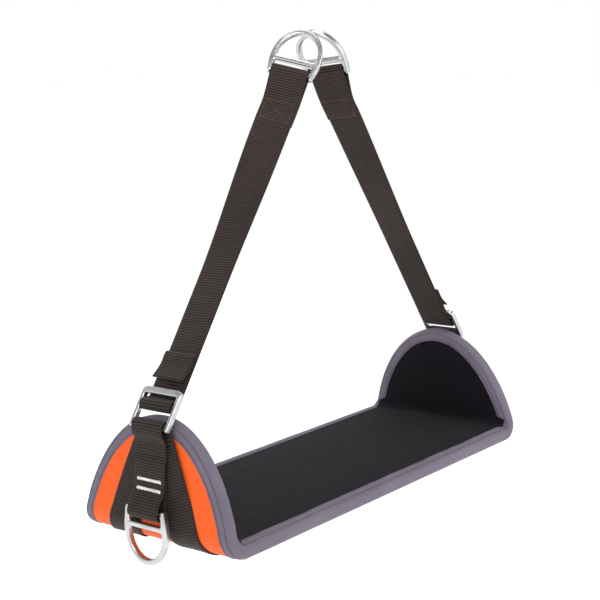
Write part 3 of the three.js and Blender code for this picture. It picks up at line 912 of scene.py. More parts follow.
@dataclass
class PaddedSeat:
    """The seat's foam pad, its two covers and the board inside."""

    paints: Paints
    sim_voxel: float = 0.006
    sim_cap: float = 0.0022
    sim_cap_outside: float = 0.00015
    sim_pressure: float = 4.0
    cover: float = 0.0009
    rows: int = 260
    columns: int = 84

    def build(self) -> None:
        """Builds the pad, puffs it, lays both covers on it and dresses the board."""
        pad = self.pad()
        outer = self.cover_cloth("outer_cover_cloth", pad, outside=True)
        inner = self.cover_cloth("seat_cover_cloth", pad, outside=False)
        for piece, finish, slot, nodes in (
            (outer, "orange", Slot.ORANGE, ["outer_cover"]),
            (inner, "seat", Slot.SEAT, ["seat_cover"]),
            (pad, "foam", Slot.FOAM, ["seat_foam", "left_wing_foam", "right_wing_foam"]),
        ):
            self.paints.paint(piece, finish)
            settle(piece, "seat", nodes)
        self.paints.paint(frame["nodes"]["seat_board"], "board")

    def face(self, rows: int, columns: int, outside: bool, inset: float) -> Surface:
        """One face of the padded shell as a grid.

        Rows follow the shell from tip to tip, closer together on the corners, and
        columns cross it between the arch's edges. The depth is the face's own, less the
        squeeze near the bound edge.

        Args:
            rows: stations along the shell.
            columns: stations across it.
            outside: the outer face, or the face one sits on.
            inset: how far the edge lies inside the outline.

        Returns:
            The grid, with UVs in metres along the cloth.
        """
        reach = SHELL.half - inset - 0.0004
        t = np.linspace(-1, 1, rows)
        along = reach * np.sign(t) * (1 - (1 - np.abs(t)) ** 1.25)
        width = np.maximum(SHELL.half_width(along) - inset, 0.002)
        across = width[:, None] * np.sin(np.linspace(-1, 1, columns) * math.pi / 2)[None, :]
        along = np.broadcast_to(along[:, None], across.shape)
        squeeze = edge_squeeze(SHELL.edge_distance(along, across))
        out = -squeeze if outside else squeeze - SHELL.thickness
        return Surface(SHELL.place(along, across, out), across, along)

    def pad(self) -> bpy.types.Object:
        """The foam pad: both faces joined at the edge, remeshed, puffed and smoothed."""
        upper = self.face(self.rows, self.columns, outside=False, inset=0.002)
        lower = self.face(self.rows, self.columns, outside=True, inset=0.002)
        count = self.rows * self.columns
        index = np.arange(count).reshape(self.rows, self.columns)
        ring = np.concatenate([index[0, :], index[1:, -1], index[-1, -2::-1], index[-2:0:-1, 0]])
        after = np.roll(ring, -1)
        sides = np.stack([ring, after, after + count, ring + count], axis=1)
        quads = np.vstack([upper.faces(), lower.faces()[:, ::-1] + count, sides])
        points = np.vstack([upper.points.reshape(-1, 3), lower.points.reshape(-1, 3)])
        pad = recalculate_outwards(mesh_object("seat_pad", points, quads))
        remesh = pad.modifiers.new("even_faces", "REMESH")
        remesh.mode, remesh.voxel_size = "VOXEL", self.sim_voxel
        apply_modifiers(pad)
        self.puff(pad)
        subdivide(pad, 1)
        return apply_modifiers(pad)

    def puff(self, pad: bpy.types.Object) -> None:
        """Blows the pad up as cloth with its bound edge held, and caps the movement.

        Each point's move is shortened to cap * tanh(move / cap), so that the shape
        keeps the simulation's folds and stays in the CAD's room. The cap is small
        on the outside, where the slings hold the cover flat.
        """
        rest = np.empty(len(pad.data.vertices) * 3, np.float32)
        pad.data.vertices.foreach_get("co", rest)
        rest = rest.reshape(-1, 3)
        facing = np.empty(len(pad.data.vertices) * 3, np.float32)
        pad.data.vertex_normals.foreach_get("vector", facing)
        facing = facing.reshape(-1, 3)
        sideways = facing[:, 0] * np.sign(rest[:, 0]) * (np.abs(rest[:, 0]) > SHELL.flat_half)
        outward = sideways > facing[:, 2]
        held = pad.vertex_groups.new(name="bound_edge")
        near = np.abs(rest[:, 1]) > SHELL.width / 2 - 0.010
        wing = np.maximum(rest[:, 2] + SHELL.drop, 0) / SHELL.wing_height
        arch = SHELL.width / 2 * np.sqrt(np.clip(1 - wing**2, 0, 1))
        on_wing = np.abs(rest[:, 0]) > SHELL.flat_half
        near |= on_wing & (np.abs(rest[:, 1]) > arch - 0.012)
        near |= rest[:, 2] > SHELL.wing_height - SHELL.drop - 0.014
        held.add(np.flatnonzero(near).tolist(), 1.0, "REPLACE")
        cloth = pad.modifiers.new("puff", "CLOTH")
        cloth.settings.use_pressure = True
        cloth.settings.uniform_pressure_force = self.sim_pressure
        cloth.settings.effector_weights.gravity = 0.0
        cloth.settings.quality = 4
        cloth.settings.vertex_group_mass = "bound_edge"
        cloth.settings.tension_stiffness = 40.0
        cloth.settings.compression_stiffness = 40.0
        cloth.collision_settings.use_collision = False
        scene = bpy.context.scene
        for step in range(1, 21):
            scene.frame_set(step)
        apply_modifiers(pad)
        scene.frame_set(1)
        pad.vertex_groups.clear()
        moved = np.empty(len(pad.data.vertices) * 3, np.float32)
        pad.data.vertices.foreach_get("co", moved)
        move = moved.reshape(-1, 3) - rest
        size = np.linalg.norm(move, axis=1, keepdims=True)
        cap = np.where(outward[:, None], self.sim_cap_outside, self.sim_cap)
        share = cap * np.tanh(size / cap) / np.maximum(size, 1e-9)
        pad.data.vertices.foreach_set("co", (rest + move * share).ravel())
        pad.data.update()

    def cover_cloth(self, name: str, pad: bpy.types.Object, outside: bool) -> bpy.types.Object:
        """One cover: a fine grid drawn onto the pad, with slow ripples and a thickness.

        Args:
            name: the piece's name.
            pad: the puffed pad to lie on.
            outside: the orange underside, or the black seat.

        Returns:
            The cover.
        """
        rows, columns = int(self.rows * 1.5), int(self.columns * 1.5)
        grid = self.face(rows, columns, outside, inset=0.0012)
        piece = grid.build(name, flip=not outside)
        wrap = piece.modifiers.new("lie_on_pad", "SHRINKWRAP")
        wrap.target = pad
        wrap.wrap_method = "NEAREST_SURFACEPOINT"
        wrap.wrap_mode = "OUTSIDE_SURFACE"
        wrap.offset = 0.0003
        apply_modifiers(piece)
        thick = piece.modifiers.new("cloth", "SOLIDIFY")
        thick.thickness = self.cover
        thick.offset = 1.0
        return apply_modifiers(piece)


@dataclass
class EdgeBinding:
    """The tape folded over the seat's edge, and the stitching that holds it."""

    paints: Paints
    spacing: float = 0.0028
    reach: float = 0.013
    seams: tuple[float, ...] = (0.0028, 0.0105)

    def build(self) -> None:
        """Builds the tape and its seams on both faces."""
        tape = self.paints.paint(self.tape(), "binding")
        settle(tape, "seat", ["edge_binding"])
        stitches = self.paints.paint(self.stitches(), "tape_thread")
        settle(stitches, "seat")

    def profile(self) -> tuple[Array, Array]:
        """The tape's cross-section as (inward, out) pairs and its cloth coordinate.

        The outer skin runs along the outer face, round the edge in a rounded corner,
        and back along the other face; the inner skin returns inside it.
        """
        low = -SHELL.thickness
        outer = spline(
            [
                (self.reach, BINDING_LIFT + 0.0002), (self.reach - 0.0006, BINDING_LIFT + 0.0010),
                (self.reach - 0.003, BINDING_LIFT + BINDING), (0.0035, BINDING_LIFT + BINDING - 0.0001),
                (0.0010, BINDING_LIFT + 0.0002), (-GAP - BINDING, -0.0024),
                (-GAP - BINDING, low / 2), (-GAP - BINDING, low + 0.0024),
                (0.0010, low - BINDING_LIFT - 0.0002),
                (0.0035, low - BINDING_LIFT - BINDING + 0.0001),
                (self.reach - 0.003, low - BINDING_LIFT - BINDING),
                (self.reach - 0.0006, low - BINDING_LIFT - 0.0010),
                (self.reach, low - BINDING_LIFT - 0.0002),
            ],
            0.0007,
        )
        inner = spline(
            [
                (self.reach - 0.0003, low - BINDING_LIFT + 0.0004), (0.0040, low - BINDING_LIFT + 0.0002),
                (0.0012, low + 0.0012), (-GAP, low + 0.0034), (-GAP, low / 2), (-GAP, -0.0034),
                (0.0012, -0.0012), (0.0040, BINDING_LIFT - 0.0002),
                (self.reach - 0.0003, BINDING_LIFT - 0.0004),
            ],
            0.0016,
        )
        loop = np.vstack([outer, inner])
        cloth = np.concatenate([run_length(outer), run_length(inner)[::-1]])
        return loop, cloth

    def spread(self, inward: Array, out: Array, stations: Array) -> tuple[Array, Array, Array]:
        """Shell coordinates of a profile carried round the outline.

        Each station's inward direction is the outline's run turned a quarter left.
        The depth follows the squeeze of the padded edge.

        Args:
            inward: profile distances in from the outline.
            out: profile depths from the outer face.
            stations: the outline's (along, across) points.

        Returns:
            Along, across and out for every station and profile point.
        """
        run = unit(np.roll(stations, -1, axis=0) - np.roll(stations, 1, axis=0))
        along = stations[:, :1] - run[:, 1:] * inward[None, :]
        across = stations[:, 1:] + run[:, :1] * inward[None, :]
        squeeze = edge_squeeze(np.clip(inward, 0, None))[None, :]
        middle = -SHELL.thickness / 2
        depth = np.where(out[None, :] > middle, out[None, :] - squeeze, out[None, :] + squeeze)
        return along, across, np.broadcast_to(depth, along.shape)

    def tape(self) -> bpy.types.Object:
        """The tape swept once round, with the small puckers that its stitches pull."""
        profile, cloth = self.profile()
        stations = SHELL.outline(self.spacing)
        along, across, out = self.spread(profile[:, 0], profile[:, 1], stations)
        places = np.stack([along, across], axis=-1)
        pucker = 0.00022 * wobble(places, 0.016, 3) + 0.0003 * wobble(places, 0.06, 5)
        inward = profile[:, 0]
        for seam in self.seams:
            pucker = pucker - 0.00045 * np.exp(-(((inward - seam) / 0.0011) ** 2))[None, :]
        outwards = np.where(out > -SHELL.thickness / 2, 1.0, -1.0)
        skin = np.abs(out + SHELL.thickness / 2) > SHELL.thickness / 2 - 0.0022
        points = SHELL.place(along, across, out + pucker * outwards * skin)
        length = np.arange(len(stations)) * self.spacing
        u = np.broadcast_to(cloth[None, :], along.shape)
        v = np.broadcast_to(length[:, None], along.shape)
        grid = Surface(points, u, v, close_rows=True, close_columns=True)
        return recalculate_outwards(grid.build("edge_tape"))

    def stitches(self) -> bpy.types.Object:
        """Two seams round each face of the tape, one short stitch after another."""
        stations = SHELL.outline(0.0036)
        places, runs, normals = [], [], []
        middle = SHELL.thickness / 2
        for seam in self.seams:
            for sign in (1.0, -1.0):
                face = -middle + sign * (middle + BINDING_LIFT + BINDING - 0.00025)
                along, across, out = self.spread(np.array([seam]), np.array([face]), stations)
                points = SHELL.place(along, across, out)[:, 0]
                places.append(points)
                runs.append(unit(np.roll(points, -1, axis=0) - np.roll(points, 1, axis=0)))
                normals.append(sign * SHELL.outward(along, across)[:, 0])
        return stitch_mesh(
            "edge_tape_stitches", np.vstack(places), np.vstack(runs), np.vstack(normals), 0.0028, 0.00055
        )


# --------------------------------------------------------------------------
# Stitches
# --------------------------------------------------------------------------


def stitch_mesh(
    name: str, places: Array, runs: Array, normals: Array, length: float, radius: float
) -> bpy.types.Object:
    """Many stitches as one mesh, each a rounded grain lying on the cloth.

    The template is a ring of six points at five stations of a half-turn: its radius is
    the sine of the turn and its place along the stitch the cosine, flattened to 0.7
    away from the cloth. Every stitch is the template carried to its own frame.

    Args:
        name: the piece's name.
        places: (n, 3) middles of the stitches.
        runs: (n, 3) unit directions of the stitches.
        normals: (n, 3) unit directions away from the cloth.
        length: a stitch's length.
        radius: its radius.

    Returns:
        The stitches' object.
    """
    turn = np.linspace(0, math.pi, 6)
    around = np.linspace(0, 2 * math.pi, 6, endpoint=False)
    s = -np.cos(turn)[:, None] * np.ones(6)[None, :] * length / 2
    ring = np.maximum(np.sin(turn), 0.02)[:, None] ** 0.6 * radius
    a, b = ring * np.cos(around)[None, :], 0.7 * ring * np.sin(around)[None, :]
    grain = Surface(np.stack([s, a, b], axis=-1), s, a, close_columns=True)
    quads = grain.faces()
    ends = [[0, 1, 2, 3], [0, 3, 4, 5]]
    top = [[c + 30 for c in reversed(e)] for e in ends]
    quads = np.vstack([quads[:, ::-1], ends, top])
    template = grain.points.reshape(-1, 3)
    normals = unit(normals - runs * (normals * runs).sum(axis=1, keepdims=True))
    axes = np.stack([runs, np.cross(normals, runs), normals], axis=1)
    points = places[:, None, :] + np.einsum("kc,ncd->nkd", template, axes)
    faces = quads[None, :, :] + np.arange(len(places))[:, None, None] * len(template)
    return recalculate_outwards(mesh_object(name, points.reshape(-1, 3), faces.reshape(-1, 4)))


# --------------------------------------------------------------------------
# Webbing
# --------------------------------------------------------------------------


@dataclass
class Ribbon:
    """A strip of webbing: where its middle runs, and which way its width and face lie."""

    middle: Array
    wide: Array
    face: Array
    half: Array | float = WEBBING_WIDTH / 2
    thickness: float = WEBBING
    start: float = 0.0

    def surface(self) -> Surface:
        """The strip's skin: a flat lens-edged section at each station.

        Across the section, x is the sine of an angle from -90 to 90 degrees and the
        half-thickness is (1 - |x|^14)^(1/3), so the faces are flat and the selvedges
        round. Columns go over the face and back under it.
        """
        angle = np.linspace(-math.pi / 2, math.pi / 2, 15)
        x = np.sin(angle)
        y = np.clip(1 - np.abs(x) ** 14, 0, 1) ** (1 / 3)
        x = np.concatenate([x, x[-2:0:-1]])
        y = np.concatenate([y, -y[-2:0:-1]])
        half = np.broadcast_to(self.half, len(self.middle))
        across = half[:, None] * x[None, :]
        lift = self.thickness / 2 * y
        points = (
            self.middle[:, None, :]
            + across[..., None] * self.wide[:, None, :]
            + lift[None, :, None] * self.face[:, None, :]
        )
        length = self.start + run_length(self.middle)
        v = np.broadcast_to(length[:, None], across.shape)
        u = WEBBING_WIDTH / 2 * np.broadcast_to(x[None, :], across.shape)
        return Surface(points, u, v, close_columns=True, cap_ends=True)

    def build(self, name: str) -> bpy.types.Object:
        """The strip as an object."""
        return recalculate_outwards(self.surface().build(name))

    def at(self, along: Array, across: Array, lift: float) -> tuple[Array, Array, Array, Array]:
        """Places on the strip, with the directions along it, across it and off it.

        Args:
            along: distances from the strip's first station.
            across: distances from its middle line.
            lift: distance off its middle, towards its face.

        Returns:
            Places, runs, wides and normals, each (n, 3).
        """
        length = run_length(self.middle)

        def pick(values: Array) -> Array:
            """Rows of values at the given distances."""
            return np.stack([np.interp(along, length, c) for c in values.T], axis=1)

        run = unit(np.gradient(self.middle, axis=0))
        place, way, wide, face = (pick(v) for v in (self.middle, run, self.wide, self.face))
        return place + across[:, None] * wide + lift * face, unit(way), unit(wide), unit(face)


@dataclass
class Slings:
    """The front and rear sling straps, up both wings and under the seat."""

    paints: Paints
    spread: float = 0.066
    leg_start: float = 0.008
    leg_top: float = SHELL.wing_height - 0.028
    leg_end: float = SHELL.wing_height - 0.010
    leg_run: float = 0.206
    leg_ease: float = 1.6

    def leg_spread(self, along: Array) -> Array:
        """A sling's centre line from the middle: its spread less an eased power of the run left."""
        run = np.maximum(SHELL.along_at(self.leg_top) - np.abs(along), 0)
        left = np.maximum(1 - run / self.leg_run, 0)
        closing = smooth(SHELL.along_at(self.leg_top), SHELL.along_at(self.leg_end), np.abs(along))
        spread = self.spread - (self.spread - self.leg_start) * left**self.leg_ease
        return spread * (1 - 0.4 * closing)

    def ribbon(self, edge: int, plies: int) -> Ribbon:
        """One sling: -1 is the front one, which climbs over the rear one near the top."""
        top = SHELL.along_at(self.leg_end)
        along = np.linspace(-top, top, 580)
        across = edge * self.leg_spread(along)
        heights = [SHELL.along_at(share * SHELL.wing_height) for share in (0.25, 0.52)]
        climb = plies * PLY * smooth(*heights, np.abs(along))
        lap = [SHELL.along_at(SHELL.wing_height - back) for back in (0.030, 0.019)]
        climb = climb + (BINDING_LIFT + BINDING) * smooth(*lap, np.abs(along))
        middle = SHELL.place(along, across, GAP + WEBBING / 2 + climb)
        face = SHELL.outward(along, across)
        run = unit(np.gradient(middle, axis=0))
        wide = unit(np.cross(face, run))
        return Ribbon(middle, wide, unit(np.cross(run, wide)))

    def build(self) -> None:
        """Builds both slings."""
        for name, edge, plies in (("rear_sling", 1, 0), ("front_sling", -1, 1)):
            piece = self.ribbon(edge, plies).build(f"{name}_webbing")
            settle(self.paints.paint(piece, "webbing"), "seat", [name])


@dataclass
class WingFittings:
    """What is sewn on one wing: the adjuster's loop, the ring tab and its tacks."""

    paints: Paints
    side: Side
    tab_top: float = SHELL.wing_height - 0.036
    tab_bar: float = 0.275 * SHELL.wing_height
    fold_top: float = 0.535 * SHELL.wing_height
    leg_top: float = SHELL.wing_height - 0.028
    loop_bar: float = SHELL.wing_height - 0.007
    lap_climb: float = 0.0006

    def on_wing(self, height: float, out: float) -> tuple[float, float]:
        """(x, z) at a height up the +X wing and a distance out of it."""
        point = SHELL.place(np.array(SHELL.along_at(height)), np.array(0.0), np.array(out))
        return float(point[0]), float(point[2])

    def arc(self, centre: tuple[float, float], radius: float, first: float, last: float) -> list:
        """Points round a bar, between two angles in degrees."""
        turn = np.radians(np.linspace(first, last, 9))
        return list(zip(centre[0] + radius * np.cos(turn), centre[1] + radius * np.sin(turn)))

    def ribbon(self, points: Sequence[tuple[float, float]]) -> Ribbon:
        """Webbing as wide as Y along a path in the plane of X and Z, turned to its side."""
        path = spline(points, 0.0012)
        middle = np.stack([path[:, 0], np.zeros(len(path)), path[:, 1]], axis=1)
        run = unit(np.gradient(middle, axis=0))
        face = np.stack([run[:, 2], np.zeros(len(path)), -run[:, 0]], axis=1)
        wide = np.broadcast_to([0.0, 1.0, 0.0], middle.shape)
        turned = np.array([self.side.value, self.side.value, 1.0])
        return Ribbon(middle * turned, wide * turned, face * turned)

    def loop(self) -> Ribbon:
        """The sling's loop round the adjuster's lower bar, its end sewn down over the tab."""
        radius = wrap_radius(ADJUSTER_PLATE)
        leg_out = GAP + WEBBING / 2
        bar_out = leg_out + BINDING_LIFT + BINDING + GAP + radius
        bar = self.on_wing(self.loop_bar, bar_out)
        lean = math.degrees(SHELL.lean)
        over = leg_out + 3 * PLY
        return self.ribbon(
            [
                self.on_wing(self.loop_bar - 0.007, bar_out - radius + GAP),
                *self.arc(bar, radius, 180 + lean, lean),
                self.on_wing(self.loop_bar - BAR * 1.5, bar_out + radius - 0.0010),
                self.on_wing(self.leg_top + 0.004, over + self.lap_climb),
                self.on_wing(self.leg_top - 0.003, over),
                self.on_wing(self.leg_top - 0.010, over),
            ]
        )

    def tab(self) -> Ribbon:
        """The tab folded round the side ring's bar and sewn down over the legs."""
        radius = wrap_radius(RING_PLATE)
        tab_out = GAP + WEBBING / 2 + 2 * PLY
        bar_out = tab_out + radius
        bar = self.on_wing(self.tab_bar, bar_out)
        lean = math.degrees(SHELL.lean)
        return self.ribbon(
            [
                self.on_wing(self.fold_top, tab_out),
                self.on_wing((self.fold_top + self.tab_bar) / 2, tab_out),
                *self.arc(bar, radius, 180 + lean, 360 + lean),
                self.on_wing(self.tab_bar + 0.012, bar_out + radius - 0.0032),
                self.on_wing(self.fold_top - 0.012, tab_out + PLY + 0.0004),
                self.on_wing(self.fold_top, tab_out + PLY),
                self.on_wing(self.tab_top - 0.010, tab_out + PLY),
                self.on_wing(self.tab_top - 0.001, tab_out + 0.0004),
                self.on_wing(self.tab_top + 0.006, tab_out),
            ]
        )

    def build(self) -> None:
        """Builds the loop, the tab and the tacks and seams on them."""
        name = self.side.label
        loop, tab = self.loop(), self.tab()
        for label, ribbon in (("adjuster_loop", loop), ("ring_tab", tab)):
            piece = self.paints.paint(ribbon.build(f"{name}_{label}_webbing"), "webbing")
            settle(piece, "seat", [f"{name}_{label}"])
        length = run_length(tab.middle)[-1]
        tacks = [self.tack(tab, length - back, 0.034) for back in (0.0465, 0.0360)]
        piece = stitch_mesh(f"{name}_bar_tacks", *(np.vstack(p) for p in zip(*tacks)), 0.0036, 0.00052)
        settle(self.paints.paint(piece, "tack"), "seat")
        end = run_length(loop.middle)[-1]
        seams = [self.seam(loop, end - back) for back in (0.0025, 0.0065)]
        piece = stitch_mesh(f"{name}_wing_seams", *(np.vstack(p) for p in zip(*seams)), 0.0022, 0.0003)
        settle(self.paints.paint(piece, "dark_thread"), "seat")

    @staticmethod
    def tack(ribbon: Ribbon, along: float, width: float) -> tuple[Array, Array, Array]:
        """A bar tack: threads packed side by side across the webbing, each a little slanted."""
        count = int(width / 0.00062)
        across = np.linspace(-width / 2, width / 2, count)
        place, run, wide, face = ribbon.at(np.full(count, along), across, WEBBING / 2 + 0.00012)
        slant = np.where(np.arange(count) % 2 == 0, 0.18, -0.18)[:, None]
        ragged = 0.00035 * wobble(across[:, None], 0.004, 11)[:, None]
        return place + run * ragged, unit(run + slant * wide), face

    @staticmethod
    def seam(ribbon: Ribbon, along: float) -> tuple[Array, Array, Array]:
        """A row of stitches straight across the webbing."""
        across = np.arange(-0.0195, 0.0196, 0.003)
        place, _, wide, face = ribbon.at(np.full(len(across), along), across, WEBBING / 2 + 0.00005)
        return place, wide, face


# --------------------------------------------------------------------------
# Metal frames
# --------------------------------------------------------------------------


def turn_points(
    centre: Sequence[float], radius: Sequence[float], first: float, last: float, count: int
) -> Array:
    """Points on an elliptic arc between two angles in degrees."""
    turn = np.radians(np.linspace(first, last, count))
    return np.stack([centre[0] + radius[0] * np.cos(turn), centre[1] + radius[1] * np.sin(turn)], axis=1)


def rounded_box(left: float, right: float, low: float, high: float, radius: float) -> Array:
    """A rectangle's outline with rounded corners, counter-clockwise."""
    corners = [(right, low, -90), (right, high, 0), (left, high, 90), (left, low, 180)]
    arcs = []
    for x, y, first in corners:
        centre = (x + math.copysign(radius, -x), y + (radius if y == low else -radius))
        arcs.append(turn_points(centre, (radius, radius), first, first + 90, 9))
    return np.vstack(arcs)


def bent(start: Sequence[float], control: Sequence[float], end: Sequence[float], count: int) -> Array:
    """Points on a quadratic Bezier curve."""
    t = np.linspace(0, 1, count)[:, None]
    return (1 - t) ** 2 * np.array(start) + 2 * t * (1 - t) * np.array(control) + t**2 * np.array(end)


@dataclass
class Frame2D:
    """A plate cut to outlines, with rounded edges, in its own plane."""

    outlines: Sequence[Array]
    thickness: float
    rounding: float

    def points_and_faces(self) -> tuple[Array, Array]:
        """A closed mesh of the plate in X (width), Y (up) and Z (thickness).

        A flat filled curve is thickened and its edges rolled over by the rounding, with
        the outlines drawn in by as much so that the plate keeps its size.
        """
        curve = bpy.data.curves.new("plate", "CURVE")
        curve.dimensions, curve.fill_mode = "2D", "BOTH"
        curve.extrude = self.thickness / 2 - self.rounding
        curve.bevel_depth, curve.bevel_resolution = self.rounding, 5
        curve.offset = -self.rounding
        for outline in self.outlines:
            path = curve.splines.new("POLY")
            path.points.add(len(outline) - 1)
            edge = np.ones((len(outline), 1))
            flat = np.concatenate([outline, 0 * edge, edge], axis=1)
            path.points.foreach_set("co", flat.astype(np.float32).ravel())
            path.use_cyclic_u = True
        holder = bpy.data.objects.new("plate", curve)
        bpy.context.scene.collection.objects.link(holder)
        graph = bpy.context.evaluated_depsgraph_get()
        graph.update()
        mesh = bpy.data.meshes.new_from_object(holder.evaluated_get(graph))
        bpy.data.objects.remove(holder)
        return mesh


def plate_piece(name: str, plate: Frame2D, place: Callable[[Array], Array]) -> bpy.types.Object:
    """A plate carried to its place in the row frame by a function of its points."""
    mesh = plate.points_and_faces()
    points = np.empty(len(mesh.vertices) * 3, np.float32)
    mesh.vertices.foreach_get("co", points)
    mesh.vertices.foreach_set("co", place(points.reshape(-1, 3).astype(float)).astype(np.float32).ravel())
    mesh.update()
    piece = bpy.data.objects.new(name, mesh)
    bpy.context.scene.collection.objects.link(piece)
    return recalculate_outwards(piece)


@dataclass(frozen=True)
class RingShape:
    """The D-shaped ring: webbing bar, slot, crossbar and open arch."""

    width: float = 0.062
    arch: float = 0.040
    shoulder: float = 0.018
    foot: float = 0.0055
    foot_width: float = 0.0046
    rod: float = 0.0065
    crossbar: float = 0.015
    crossbar_height: float = 0.006

    def plate(self) -> Frame2D:
        """The ring's outlines, from the webbing bar's axis up."""
        half, toe = self.width / 2, self.foot_width / 2
        inner = half - self.rod
        top = self.crossbar + self.crossbar_height / 2
        low = self.crossbar - self.crossbar_height / 2
        right_toe = turn_points((SLOT_HALF + toe, toe - self.foot), (toe, toe), 180, 360, 13)
        side = bent((SLOT_HALF + 2 * toe, toe - self.foot), (half, low), (half, self.shoulder), 15)
        over = turn_points((0, self.shoulder), (half, self.arch), 0, 180, 73)
        right = np.vstack([[(SLOT_HALF, -BAR / 2)], right_toe, side[1:-1]])
        left = right[::-1] * np.array([-1, 1])
        outline = np.vstack([right, over, left])
        rise = self.shoulder + self.arch - self.rod - top
        fillet = 0.003
        arch = np.vstack([
            turn_points((-inner + fillet, top + fillet), (fillet, fillet), 180, 270, 7),
            turn_points((inner - fillet, top + fillet), (fillet, fillet), 270, 360, 7),
            turn_points((0, top + fillet), (inner, rise - fillet), 0, 180, 73)[1:-1],
        ])
        slot = rounded_box(-SLOT_HALF, SLOT_HALF, BAR / 2, low, 0.0022)
        return Frame2D([outline, slot, arch], RING_PLATE, 0.0022)


@dataclass(frozen=True)
class AdjusterShape:
    """The adjuster: lower, middle and top bars between two arms."""

    width: float = 0.056
    height: float = 0.047
    foot: float = 0.005
    top_bar: float = 0.0075
    middle_bar: float = 0.023

    def plate(self) -> Frame2D:
        """The adjuster's outlines, from the lower bar's axis up."""
        top, half = self.height - self.foot, self.width / 2
        right = np.vstack([
            [(SLOT_HALF, -BAR / 2), (SLOT_HALF + 0.0004, -self.foot + 0.001)],
            turn_points((half - 0.0023, -self.foot + 0.0023), (0.0023, 0.0023), -90, 0, 9),
            turn_points((half - 0.006, top - 0.006), (0.006, 0.006), 0, 90, 15),
        ])
        outline = np.vstack([right, right[::-1] * np.array([-1, 1])])
        windows = [
            rounded_box(-SLOT_HALF, SLOT_HALF, BAR / 2, self.middle_bar - BAR / 2, 0.002),
            rounded_box(-SLOT_HALF, SLOT_HALF, self.middle_bar + BAR / 2, top - self.top_bar, 0.002),
        ]
        return Frame2D([outline, *windows], ADJUSTER_PLATE, 0.0015)


# --------------------------------------------------------------------------
# Hanging straps
# --------------------------------------------------------------------------


def joint(name: str) -> dict:
    """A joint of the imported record."""
    return next(j for j in frame["joints"] if j["name"] == name)


